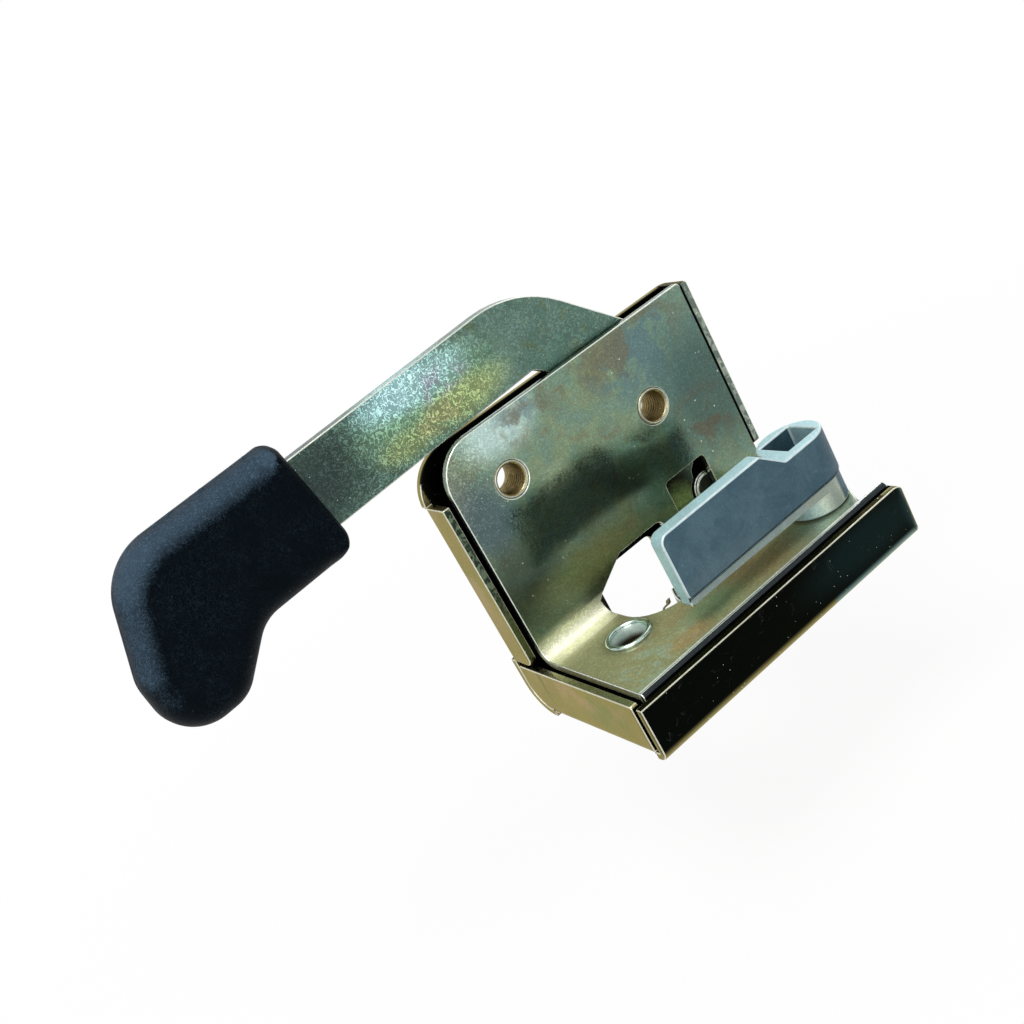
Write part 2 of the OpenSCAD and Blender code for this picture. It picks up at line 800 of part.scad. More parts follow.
// Grip as a stack of outlines that draw in towards both faces along a quarter circle
module grip_body() {
    outline = grip_outline();
    n = len(outline);
    layers = 6;
    inset = [for (k = [0 : layers]) [grip_edge_r * (1 - cos(90 * k / layers)), grip_edge_r * sin(90 * k / layers)]];
    flat = grip_t / 2 - grip_edge_r;
    rings = concat(
        [for (k = [layers : -1 : 0]) [inset[k].x, -flat - inset[k].y]],
        [for (k = [0 : layers]) [inset[k].x, flat + inset[k].y]]
    );
    points = [for (ring = rings, i = [0 : n - 1])
        let (
            way = unit(outline[(i + 1) % n] - outline[(i + n - 1) % n]),
            inward = [way.y, -way.x],
            ease = min(1, 0.25 + max(0, -outline[i].x) / 14),
            at = outline[i] + inward * ring.x * ease * 0.9
        )
        [at.x, ring.y, at.y]];
    last = len(rings) - 1;
    skin = [for (j = [0 : last - 1], i = [0 : n - 1])
        [j * n + i, j * n + (i + 1) % n, (j + 1) * n + (i + 1) % n, (j + 1) * n + i]];
    front = [for (i = [n - 1 : -1 : 0]) i];
    back = [for (i = [0 : n - 1]) last * n + i];
    polyhedron(points, concat([front], skin, [back]));
}

module handle_grip() {
    middle = lever_front + lever_t / 2;
    color(BLACK) rotate([0, -lever_tilt, 0]) difference() {
        translate([-grip_from_pivot, middle, lever_rise + lever_w / 2]) grip_body();
        // Slot that is pushed over the strip
        translate([-lever_reach - seat, lever_front - seat, lever_rise - seat])
            cube([lever_reach, lever_t + 2 * seat, lever_w + 2 * seat]);
    }
}

// Arm outline seen from the front, with the slope that drops to the boss
module arm_outline(foot) {
    end = shaft_x - arm_l;
    slope_end = shaft_x - boss_r - 1;
    polygon(rounded([
        [end, foot, 1],
        [shaft_x, foot, 0],
        [shaft_x, boss_top, 0],
        [slope_end, boss_top, 1.5],
        [slope_end - 1.2 * (arm_top - boss_top), arm_top, 2],
        [end, arm_top, 3]
    ]));
}

module release_arm() {
    front = -shaft_y - boss_r;
    set_back = 0.5;
    split = arm_foot + parting_h;
    color(CAST) from_corner() difference() {
        union() {
            along_y(front, arm_t) arm_outline(split);
            along_y(front + set_back, arm_t - 2 * set_back) arm_outline(arm_foot);
            bar_z(shaft, boss_r, split, boss_top - split);
            bar_z(shaft, boss_r - set_back, boss_foot, split - boss_foot);
            // Web that joins the boss to the arm's back
            along_z(split, boss_top - split) polygon([
                [shaft.x - boss_r - 6, front + arm_t / 2],
                [shaft.x, front + arm_t / 2],
                [shaft.x, shaft.y + boss_r],
                [shaft.x - boss_r * 0.6, shaft.y + boss_r * 0.8]
            ]);
        }
        // Square socket
        translate([shaft.x - socket_w / 2, shaft.y - socket_w / 2, boss_top - socket_d])
            cube([socket_w, socket_w, socket_d + SPILL]);
        // Seats of the latch shaft and its cross pin
        bar_z(shaft, shaft_r + seat, boss_foot - SPILL, shaft_seat_top - boss_foot + SPILL);
        bar_y(shaft.x, pin_z, pin_r + seat, shaft.y - pin_half, boss_r + pin_half + SPILL);
    }
}

// Latch shaft, with a flat below the narrow leaf that the pawl and the finger take hold of
module latch_shaft() {
    end = circlip_foot - 1;
    color(STEEL) from_corner() difference() {
        bar_z(shaft, shaft_r, end, shaft_seat_top - end);
        shaft_flat_waste(0);
        bar_y(shaft.x, pin_z, pin_r + seat, shaft.y - pin_half, 3 * shaft_r);
        // Groove of the circlip
        difference() {
            bar_z(shaft, shaft_r + SPILL, circlip_foot, circlip_t);
            bar_z(shaft, groove_r, circlip_foot - SPILL, circlip_t + 2 * SPILL);
        }
    }
}

// What the flat takes off the shaft between the pawl's foot and the finger's top
module shaft_flat_waste(clear) {
    translate([shaft.x + shaft_r - shaft_flat + clear, shaft.y - shaft_r - SPILL, pawl_foot])
        cube([shaft_r, 2 * (shaft_r + SPILL), finger_top - pawl_foot]);
}

// Shaft hole with its flat, through a plate of the pawl or the finger
module shaft_hole(from, length) {
    difference() {
        bar_z(shaft, shaft_r + seat, from - SPILL, length + 2 * SPILL);
        translate([shaft.x + shaft_r - shaft_flat + seat, shaft.y - 2 * shaft_r, from - 2 * SPILL])
            cube([shaft_r, 4 * shaft_r, length + 4 * SPILL]);
    }
}

module arm_pin() {
    color(STEEL) from_corner() bar_y(shaft.x, pin_z, pin_r, shaft.y - pin_half, boss_r - 0.6 + pin_half);
}

// Pawl: a hub on the shaft with a nose that stands beside the claw's rim
module pawl() {
    hub_r = norm(shaft - claw_axis) - rim_r - pass;
    nose_x = claw_axis.x + rim_r + pass;
    color(ZINC) from_corner() difference() {
        union() {
            bar_z(shaft, hub_r, pawl_foot, claw_t);
            along_z(pawl_foot, claw_t) polygon(rounded([
                [nose_x, claw_axis.y - 5, 1],
                [nose_x, claw_axis.y + 2.5, 1],
                [nose_x + 4, claw_axis.y + 5, 1.5],
                [shaft.x + hub_r * 0.8, claw_axis.y, 4],
                [shaft.x + hub_r * 0.6, shaft.y - 1, 0],
                [shaft.x - hub_r * 0.4, shaft.y - 1, 0]
            ]));
        }
        shaft_hole(pawl_foot, claw_t);
    }
}

// Release finger: a flat arm on the shaft that reaches back and turns up behind the roller
module release_finger() {
    hub_r = shaft_r + 3;
    tab_x = pivot_x + roller_x;
    half = finger_w / 2;
    fold = 2;
    color(ZINC) from_corner() difference() {
        union() {
            along_z(finger_foot, finger_t) {
                translate(shaft) circle(hub_r);
                polygon([
                    [shaft.x - hub_r, shaft.y],
                    [shaft.x + hub_r, shaft.y],
                    [tab_x + half, -bend_r],
                    [tab_x + half, roller_back - fold],
                    [tab_x - half, roller_back - fold],
                    [tab_x - half, -bend_r]
                ]);
            }
            along_x(tab_x - half, finger_w) difference() {
                translate([roller_back - fold, finger_top + fold]) circle(fold + finger_t);
                translate([roller_back - fold, finger_top + fold]) circle(fold);
                translate([roller_back - 2 * fold - finger_t - SPILL, finger_foot - SPILL])
                    square([fold + finger_t + SPILL, 3 * (fold + finger_t)]);
                translate([roller_back - fold - SPILL, finger_top + fold])
                    square([fold + finger_t + 2 * SPILL, 2 * (fold + finger_t)]);
            }
            along_y(roller_back, finger_t) {
                translate([tab_x - half, finger_top + fold]) square([finger_w, roller_z - finger_top - fold]);
                translate([tab_x, roller_z]) circle(half);
            }
        }
        shaft_hole(finger_foot, finger_t);
        bar_y(tab_x, roller_z, roller_neck_r + seat, roller_back - SPILL, finger_t + 2 * SPILL);
    }
}

// Roller that the lever's tail pushes, riveted through the finger's tab
module drive_roller() {
    x = pivot_x + roller_x;
    color(STEEL) from_corner() {
        bar_y(x, roller_z, roller_r, roller_front, roller_back - roller_front);
        bar_y(x, roller_z, roller_r - 1, roller_front - roller_rim_h, roller_rim_h);
        bar_y(x, roller_z, roller_neck_r, roller_back, finger_t);
    }
}

module shaft_circlip() {
    color(STEEL) from_corner() difference() {
        bar_z(shaft, shaft_r + 2.2, circlip_foot + seat, circlip_t - 2 * seat);
        bar_z(shaft, groove_r + seat, circlip_foot - SPILL, circlip_t + 2 * SPILL);
        translate([shaft.x - 2, shaft.y - 3 * shaft_r, circlip_foot - SPILL])
            cube([4, 3 * shaft_r, circlip_t + 2 * SPILL]);
    }
}

// Claw: jaws either side of the slot, a plain rim under the pawl and the notch that it holds
module claw() {
    sleeve_r = rivet_r + 2;
    slot_root = claw_r - 12.5;
    reach = 3 * claw_r;
    color(ZINC) from_corner() translate([claw_axis.x, claw_axis.y, claw_foot]) difference() {
        linear_extrude(claw_t) difference() {
            union() {
                circle(rim_r);
                intersection() {
                    circle(claw_r);
                    polygon([
                        [0, 0],
                        reach * [cos(slot_angle - 55), sin(slot_angle - 55)],
                        reach * [cos(slot_angle), sin(slot_angle)],
                        reach * [cos(slot_angle + 50), sin(slot_angle + 50)],
                        reach * [cos(slot_angle + 95), sin(slot_angle + 95)]
                    ]);
                }
            }
            // Slot for the striker pin
            rotate(slot_angle) {
                translate([slot_root + slot_w / 2, 0]) circle(slot_w / 2);
                translate([slot_root + slot_w / 2, -slot_w / 2]) square([reach, slot_w]);
            }
            // Notch that the pawl holds when the claw is shut
            rotate(-50) translate([rim_r - 3.5, -5]) square([rim_r, 6]);
        }
        translate([0, 0, -SPILL]) cylinder(r = sleeve_r + seat, h = claw_t + 2 * SPILL);
    }
}

module claw_sleeve() {
    color(BRASS) from_corner() translate([claw_axis.x, claw_axis.y, claw_foot]) difference() {
        cylinder(r = rivet_r + 2, h = claw_t);
        translate([0, 0, -SPILL]) cylinder(r = rivet_r + running, h = claw_t + 2 * SPILL);
    }
}

casing_back();
casing_tray();
front_wall();
left_flange();
right_flange();
tall_leaf();
narrow_leaf();
front_lip();
left_bush();
pivot_bush();
edge_bush();
claw_rivet();
upper_shaft_bush();
lower_shaft_bush();
lever_stop();
lever_washer();
handle_spring();
release_spring();
claw_spring();
handle_lever();
handle_grip();
release_arm();
latch_shaft();
arm_pin();
pawl();
release_finger();
drive_roller();
shaft_circlip();
claw();
claw_sleeve();
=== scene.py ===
"""Looks of a door lock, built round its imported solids.

The sheet-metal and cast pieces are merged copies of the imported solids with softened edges.
The grip, the rolled bush, the thread rings and the spring's hook are surfaces worked out as whole arrays.
"""

import logging
import math
from dataclasses import dataclass
from enum import Enum
from typing import Optional, Sequence, Union

import bmesh
import bpy
import numpy as np
from mathutils import Matrix
from mathutils.bvhtree import BVHTree

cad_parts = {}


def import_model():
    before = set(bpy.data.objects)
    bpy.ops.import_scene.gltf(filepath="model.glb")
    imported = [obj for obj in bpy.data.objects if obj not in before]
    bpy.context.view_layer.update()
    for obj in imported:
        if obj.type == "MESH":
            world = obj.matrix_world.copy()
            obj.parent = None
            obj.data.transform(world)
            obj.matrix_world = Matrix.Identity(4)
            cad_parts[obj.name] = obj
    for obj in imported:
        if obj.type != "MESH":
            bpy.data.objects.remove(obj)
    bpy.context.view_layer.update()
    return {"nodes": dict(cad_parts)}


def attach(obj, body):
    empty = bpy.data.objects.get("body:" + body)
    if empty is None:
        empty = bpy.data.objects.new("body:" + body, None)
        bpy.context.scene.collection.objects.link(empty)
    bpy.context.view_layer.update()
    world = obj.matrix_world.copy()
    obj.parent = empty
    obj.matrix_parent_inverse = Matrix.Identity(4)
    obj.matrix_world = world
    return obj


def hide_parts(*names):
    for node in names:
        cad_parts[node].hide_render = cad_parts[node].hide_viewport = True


LOG = logging.getLogger("door_lock")
MM = 0.001
COVER = ("tall_leaf", "narrow_leaf", "front_lip")
CASING = ("casing_back", "casing_tray", "front_wall", "left_flange", "right_flange")
# Attribute and way by which faces that look towards the light get painted light.
LIGHT_FACING = "lift"
LIGHT_WAY = (-0.5, -0.1, 0.86)
SHINE_WAY = (-0.45, -0.55, 0.7)
SATIN = 0.5
DULL_METAL = 0.1
BUMP_DEPTH = 0.2
SPECKS_PER_METRE = 900.0
SCUFF_SHARE = 0.07
NO_COLOUR = (0.0, 0.0, 0.0)
ARC_POINTS = 24

Colour = tuple[float, float, float]
Triple = tuple[float, float, float]
Material = bpy.types.Material
Node = bpy.types.Node
Piece = bpy.types.Object
Socket = bpy.types.NodeSocket
Wire = Union[Socket, float, int, Sequence[float]]


class Body(Enum):
    """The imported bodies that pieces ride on."""

    HOUSING = "housing"
    HANDLE = "handle"
    RELEASE = "release"
    CLAW = "claw"


class Slot(Enum):
    """The record's material slots."""

    GOLD_ZINC = "gold_zinc"
    OLIVE_ZINC = "olive_zinc"
    BRASS = "brass"
    BRIGHT_STEEL = "bright_steel"
    BLACK_PLASTIC = "black_plastic"
    CAST_ZINC = "cast_zinc"


class Zone(Enum):
    """The node groups by which a patch of colour fades out from its middle."""

    ROUND = "soft_zone"
    BOX = "soft_box"


class Graph:
    """Short calls that add and join nodes in one node tree."""

    def __init__(self, tree: bpy.types.NodeTree) -> None:
        """Keep the tree that the nodes go into."""
        self.tree = tree

    def node(self, kind: str, **settings: object) -> Node:
        """Add a node and set its properties.

        Args:
            kind: Blender's type name of the node.
            settings: Properties to set on it.

        Returns:
            The new node.
        """
        made = self.tree.nodes.new(kind)
        for name, value in settings.items():
            setattr(made, name, value)
        return made

    def feed(self, socket: Socket, value: Wire) -> None:
        """Link a socket to another one, or set its value.

        Args:
            socket: The input socket.
            value: An output socket to link from, or a number, vector or colour.
        """
        if isinstance(value, Socket):
            self.tree.links.new(value, socket)
        elif socket.type == "RGBA" and len(value) == 3:
            socket.default_value = (*value, 1.0)
        else:
            socket.default_value = value

    def fill(self, node: Node, values: dict[str, Wire]) -> None:
        """Feed several inputs of a node, by their names."""
        for name, value in values.items():
            self.feed(node.inputs[name], value)

    def pair(self, kind: str, operation: str, first: Wire, second: Wire) -> Node:
        """Add a node that works out something from two operands.

        Args:
            kind: Blender's type name of the node.
            operation: Name of the operation.
            first: First operand.
            second: Second operand.

        Returns:
            The new node.
        """
        made = self.node(kind, operation=operation)
        self.feed(made.inputs[0], first)
        self.feed(made.inputs[1], second)
        return made

    def math(self, operation: str, first: Wire, second: Wire = 0.0) -> Socket:
        """Add one Math node, and give its result."""
        return self.pair("ShaderNodeMath", operation, first, second).outputs[0]

    def times(self, first: Wire, second: Wire) -> Socket:
        """Multiply two values."""
        return self.math("MULTIPLY", first, second)

    def vector(self, operation: str, first: Wire, second: Wire = (0.0, 0.0, 0.0)) -> Node:
        """Add one Vector Math node, whose result is a vector or a value."""
        return self.pair("ShaderNodeVectorMath", operation, first, second)

    def mix(self, share: Wire, first: Wire, second: Wire, blend: str = "MIX") -> Socket:
        """Mix two colours.

        Args:
            share: Share of the second colour.
            first: First colour.
            second: Second colour.
            blend: Blend mode.

        Returns:
            The mixed colour's socket.
        """
        made = self.node("ShaderNodeMix", data_type="RGBA", blend_type=blend)
        self.feed(made.inputs[0], share)
        self.feed(made.inputs[6], first)
        self.feed(made.inputs[7], second)
        return made.outputs[2]

    def noise(self, at: Wire, scale: Wire, detail: float, rough: float, warp: float = 0.0) -> Socket:
        """Add a noise texture.

        Args:
            at: Texture coordinate.
            scale: Waves per metre.
            detail: Number of finer octaves.
            rough: Strength of the finer octaves.
            warp: How far the pattern is pulled out of shape.

        Returns:
            The value's socket.
        """
        made = self.node("ShaderNodeTexNoise")
        self.fill(made, {"Vector": at, "Scale": scale, "Detail": detail})
        self.fill(made, {"Roughness": rough, "Distortion": warp})
        return made.outputs[0]

    def spread(self, value: Wire, low: float, high: float, to_low: float = 0.0,
               to_high: float = 1.0) -> Socket:
        """Map one range to another along a smooth step.

        Args:
            value: The value to map.
            low: Where the range starts.
            high: Where the range ends.
            to_low: Result at the start.
            to_high: Result at the end.

        Returns:
            The mapped value's socket.
        """
        made = self.node("ShaderNodeMapRange", interpolation_type="SMOOTHSTEP")
        for index, item in enumerate((value, low, high, to_low, to_high)):
            self.feed(made.inputs[index], item)
        return made.outputs[0]

    def group(self, name: str, **inputs: Wire) -> Node:
        """Place a node group.

        Args:
            name: The group's name.
            inputs: Values of its inputs, by name.

        Returns:
            The group's node.
        """
        made = self.node("ShaderNodeGroup")
        made.node_tree = bpy.data.node_groups[name]
        self.fill(made, inputs)
        return made

    def bump(self, height: Wire, strength: float) -> Socket:
        """Add a bump of the depth that all finishes share.

        Args:
            height: Height of the surface, as a share of that depth.
            strength: Share of the bump that is used.

        Returns:
            The normal's socket.
        """
        made = self.node("ShaderNodeBump")
        self.fill(made, {"Strength": strength, "Distance": BUMP_DEPTH * MM, "Height": height})
        return made.outputs[0]


class Effects:
    """The shader node groups that several finishes share."""

    FLOAT = "NodeSocketFloat"
    KINDS = {
        **dict.fromkeys(("Vector", "Centre", "Reach"), "NodeSocketVector"),
        **dict.fromkeys(("Color", "First", "Second", "Third"), "NodeSocketColor"),
    }

    def build(self) -> None:
        """Make every group once."""
        self.mottle()
        self.grain()
        self.soft_zone()
        self.soft_box()
        self.specks()
        self.hairlines()

    def start(self, name: str, inputs: Sequence[str],
              outputs: Sequence[str]) -> tuple[Graph, list[Socket], Node]:
        """Make an empty group with named sockets, which are numbers unless KINDS says otherwise.

        Args:
            name: Name of the group.
            inputs: Names of its inputs.
            outputs: Names of its outputs.

        Returns:
            The group's graph, the sockets that bring its inputs, and its output node.
        """
        tree = bpy.data.node_groups.new(name, "ShaderNodeTree")
        for way, names in (("INPUT", inputs), ("OUTPUT", outputs)):
            for key in names:
                tree.interface.new_socket(name=key, in_out=way, socket_type=self.KINDS.get(key, self.FLOAT))
        graph = Graph(tree)
        given = graph.node("NodeGroupInput").outputs
        return graph, [given[key] for key in inputs], graph.node("NodeGroupOutput")

    def mottle(self) -> None:
        """Three colours that run into each other in clouds of two sizes."""
        names = ("Vector", "Scale", "First", "Second", "Third")
        graph, (at, scale, first, second, third), out = self.start("chromate_mottle", names, ("Color",))
        broad = graph.noise(at, scale, 5.0, 0.62, 0.8)
        shifted = graph.vector("ADD", at, (0.37, 0.11, 0.23)).outputs[0]
        finer = graph.noise(shifted, graph.times(scale, 2.3), 6.0, 0.66, 0.5)
        pair = graph.mix(graph.spread(broad, 0.38, 0.64), first, second)
        graph.feed(out.inputs["Color"], graph.mix(graph.spread(finer, 0.52, 0.7), pair, third))

    def grain(self) -> None:
        """Crinkled grain, as shade and height: ridges on a noise's middle contour, over a swell."""
        names = ("Vector", "Scale", "Depth")
        graph, (at, scale, depth), out = self.start("plate_grain", names, ("Shade", "Height"))
        fine = graph.noise(at, scale, 1.5, 0.5, 1.4)
        off = graph.math("ABSOLUTE", graph.math("SUBTRACT", fine, 0.5))
        ridge = graph.spread(off, 0.0, 0.065, 1.0, 0.0)
        broad = graph.noise(at, graph.times(scale, 0.25), 3.0, 0.6, 0.6)
        height = graph.math("ADD", graph.times(ridge, 0.7), graph.times(broad, 0.3))
        swing = graph.times(graph.math("SUBTRACT", height, 0.32), depth)
        graph.feed(out.inputs["Shade"], graph.math("MAXIMUM", graph.math("ADD", swing, 1.0), 0.3))
        graph.feed(out.inputs["Height"], height)

    def soft_zone(self) -> None:
        """Mask that fades from a centre to nothing at an ellipsoid's surface."""
        names = ("Vector", "Centre", "Reach")
        graph, (at, centre, reach), out = self.start(Zone.ROUND.value, names, ("Mask",))
        away = graph.vector("SUBTRACT", at, centre).outputs[0]
        share = graph.vector("DIVIDE", away, reach).outputs[0]
        far = graph.vector("LENGTH", share).outputs["Value"]
        graph.feed(out.inputs["Mask"], graph.spread(far, 1.0, 0.25))

    def soft_box(self) -> None:
        """Mask that is full inside a box and fades to nothing at its faces."""
        names = ("Vector", "Centre", "Reach", "Fade")
        graph, (at, centre, reach, fade), out = self.start(Zone.BOX.value, names, ("Mask",))
        away = graph.vector("SUBTRACT", at, centre).outputs[0]
        inside = graph.vector("SUBTRACT", reach, graph.vector("ABSOLUTE", away).outputs[0]).outputs[0]
        parts = graph.node("ShaderNodeSeparateXYZ")
        graph.feed(parts.inputs[0], inside)
        across = graph.math("MINIMUM", parts.outputs[0], parts.outputs[1])
        least = graph.math("MINIMUM", across, parts.outputs[2])
        graph.feed(out.inputs["Mask"], graph.spread(graph.math("DIVIDE", least, fade), 0.0, 1.0))

    def specks(self) -> None:
        """Mask of scattered specks: the middles of a share of the cells."""
        names = ("Vector", "Scale", "Share")
        graph, (at, scale, share), out = self.start("dust_specks", names, ("Mask",))
        cells = graph.node("ShaderNodeTexVoronoi")
        graph.fill(cells, {"Vector": at, "Scale": scale})
        chance = graph.node("ShaderNodeSeparateColor")
        graph.feed(chance.inputs[0], cells.outputs["Color"])
        picked = graph.math("LESS_THAN", chance.outputs[0], share)
        dot = graph.math("LESS_THAN", cells.outputs["Distance"], graph.times(chance.outputs[1], 0.24))
        graph.feed(out.inputs["Mask"], graph.times(picked, dot))

    def hairlines(self) -> None:
        """Mask of fine curved scratches: thin contours of a noise, kept where a second noise is high."""
        graph, (at, scale), out = self.start("hairline_scratches", ("Vector", "Scale"), ("Mask",))
        bent = graph.noise(at, scale, 2.0, 0.5, 2.0)
        off = graph.math("ABSOLUTE", graph.math("SUBTRACT", bent, 0.5))
        kept = graph.noise(at, graph.times(scale, 3.0), 3.0, 0.6)
        line = graph.spread(off, 0.0, 0.006, 1.0, 0.0)
        graph.feed(out.inputs["Mask"], graph.times(line, graph.spread(kept, 0.52, 0.62)))


def new_material(name: str) -> tuple[Material, Graph, Node, Socket]:
    """Start a material.

    Args:
        name: Its name.

    Returns:
        The material, its graph, its shader and the texture coordinate in metres.
    """
    material = bpy.data.materials.new(name)
    material.use_nodes = True
    graph = Graph(material.node_tree)
    at = graph.node("ShaderNodeTexCoord").outputs["Object"]
    return material, graph, material.node_tree.nodes["Principled BSDF"], at


@dataclass(frozen=True)
class Patch:
    """A patch of colour on a finish, in millimetres: a box if it has a fade, or else an ellipsoid."""

    colour: Colour
    centre: Triple
    reach: Triple
    share: float = 1.0
    fade: float = 0.0
    broken: float = 0.0

    def mask(self, graph: Graph, at: Socket) -> Socket:
        """Place the patch's mask.

        Args:
            graph: The material's graph.
            at: Texture coordinate.

        Returns:
            The mask times the patch's share, broken into blots where the patch asks for it.
        """
        zone, inputs = Zone.ROUND, {"Vector": at}
        inputs["Centre"] = [v * MM for v in self.centre]
        inputs["Reach"] = [v * MM for v in self.reach]
        if self.fade:
            zone, inputs["Fade"] = Zone.BOX, self.fade * MM
        mask = graph.times(graph.group(zone.value, **inputs).outputs[0], self.share)
        if self.broken:
            shifted = graph.vector("ADD", at, self.colour).outputs[0]
            blots = graph.spread(graph.noise(shifted, self.broken, 4.0, 0.55, 0.6), 0.47, 0.56)
            mask = graph.times(mask, blots)
        return mask


@dataclass(frozen=True)
class PlatedFinish:
    """Zinc plate with a mottled chromate tint, fine grain and scattered specks, and painted light where a
    finish asks for it.
    """

    name: str
    first: Colour
    second: Colour
    third: Colour
    mottle: float = 70.0
    patches: tuple[Patch, ...] = ()
    grain: float = 1500.0
    depth: float = 0.8
    bump: float = 0.25
    smooth: float = 0.26
    rough: float = 0.42
    metal: float = 1.0
    dust: float = 0.0
    dust_colour: Colour = (0.55, 0.58, 0.5)
    scuffs: float = 0.0
    pale: Optional[Colour] = None
    coarse: Optional[Patch] = None
    dull: Optional[Patch] = None
    satin: tuple[Patch, ...] = ()
    rim: Colour = (1.0, 1.0, 1.0)

    def build(self) -> Material:
        """Wire the finish.

        Returns:
            The finished material.
        """
        material, graph, shader, at = new_material(self.name)
        colour = graph.group("chromate_mottle", Vector=at, Scale=self.mottle, First=self.first,
                             Second=self.second, Third=self.third).outputs[0]
        for patch in self.patches:
            colour = graph.mix(patch.mask(graph, at), colour, patch.colour)
        # Painted light: faces that look up and left are mixed towards the pale colour.
        if self.pale:
            lift = graph.node("ShaderNodeAttribute", attribute_name=LIGHT_FACING).outputs["Fac"]
            colour = graph.mix(graph.spread(lift, 0.15, 0.55), colour, self.pale)
        depth: Wire = self.depth
        relief: Wire = 1.0
        if self.coarse:
            near = self.coarse.mask(graph, at)
            relief = graph.spread(near, 0.0, 1.0, 0.1, 1.0)
            depth = graph.spread(near, 0.0, 1.0, 1.3 * self.depth, 3.0 * self.depth)
        grain = graph.group("plate_grain", Vector=at, Scale=self.grain, Depth=depth)
        colour = graph.mix(1.0, colour, grain.outputs["Shade"], "MULTIPLY")
        if self.dust:
            specks = graph.group("dust_specks", Vector=at, Scale=SPECKS_PER_METRE, Share=self.dust)
            colour = graph.mix(specks.outputs[0], colour, self.dust_colour)
        if self.scuffs:
            lines = graph.group("hairline_scratches", Vector=at, Scale=self.scuffs).outputs[0]
            colour = graph.mix(graph.times(lines, SCUFF_SHARE), colour, self.dust_colour)
        haze = graph.noise(at, self.mottle * 1.7, 4.0, 0.6)
        roughness = graph.spread(haze, 0.3, 0.7, self.smooth, self.rough)
        for patch in self.satin:
            roughness = graph.math("MAXIMUM", roughness, graph.times(patch.mask(graph, at), SATIN))
        metal: Wire = self.metal
        if self.dull:
            metal = graph.spread(self.dull.mask(graph, at), 0.0, 1.0, self.metal, DULL_METAL)
        graph.fill(shader, {
            "Base Color": colour,
            "Roughness": roughness,
            "Metallic": metal,
            "Normal": graph.bump(graph.times(grain.outputs["Height"], relief), self.bump),
            "Specular Tint": self.rim,
        })
        return material


@dataclass(frozen=True)
class GripFinish:
    """Black moulded plastic with a fine leather grain, and a painted blue highlight where it faces the
    light.
    """

    name: str
    dark: Colour = (0.0008, 0.0016, 0.0026)
    pale: Colour = (0.008, 0.0135, 0.02)
    painted_highlight: Colour = (0.055, 0.092, 0.132)
    dust_colour: Colour = (0.05, 0.06, 0.07)
    rim: Colour = (0.45, 0.75, 1.0)
    grain: float = 1000.0
    depth: float = 0.6
    clouds: float = 120.0
    specks: float = 500.0
    dust: float = 0.03
    bump: float = 0.5
    shine: float = 0.06

    def build(self) -> Material:
        """Wire the finish.

        Returns:
            The finished material.
        """
        material, graph, shader, at = new_material(self.name)
        height = graph.group("plate_grain", Vector=at, Scale=self.grain, Depth=self.depth).outputs["Height"]
        cloud = graph.noise(at, self.clouds, 4.0, 0.6)
        crease = graph.times(graph.spread(height, 0.3, 0.8), graph.spread(cloud, 0.3, 0.65))
        colour = graph.mix(crease, self.dark, self.pale)
        specks = graph.group("dust_specks", Vector=at, Scale=self.specks, Share=self.dust).outputs[0]
        colour = graph.mix(graph.times(specks, 0.4), colour, self.dust_colour)
        # Painted highlight: a blue tint where the grip faces SHINE_WAY, broken by the grain.
        lift = graph.node("ShaderNodeAttribute", attribute_name=LIGHT_FACING).outputs["Fac"]
        grainy_light_facing = graph.math("ADD", lift, graph.spread(height, 0.0, 1.0, -0.06, 0.05))
        shaded = graph.spread(height, 0.2, 0.75, 0.62, 1.0)
        painted_highlight = graph.times(graph.spread(grainy_light_facing, 0.57, 0.98), shaded)
        graph.fill(shader, {
            "Base Color": graph.mix(painted_highlight, colour, self.painted_highlight),
            "Roughness": graph.spread(cloud, 0.3, 0.75, 0.42, 0.56),
            "Normal": graph.bump(height, self.bump),
            "Specular IOR Level": self.shine,
            "Specular Tint": self.rim,
        })
        return material


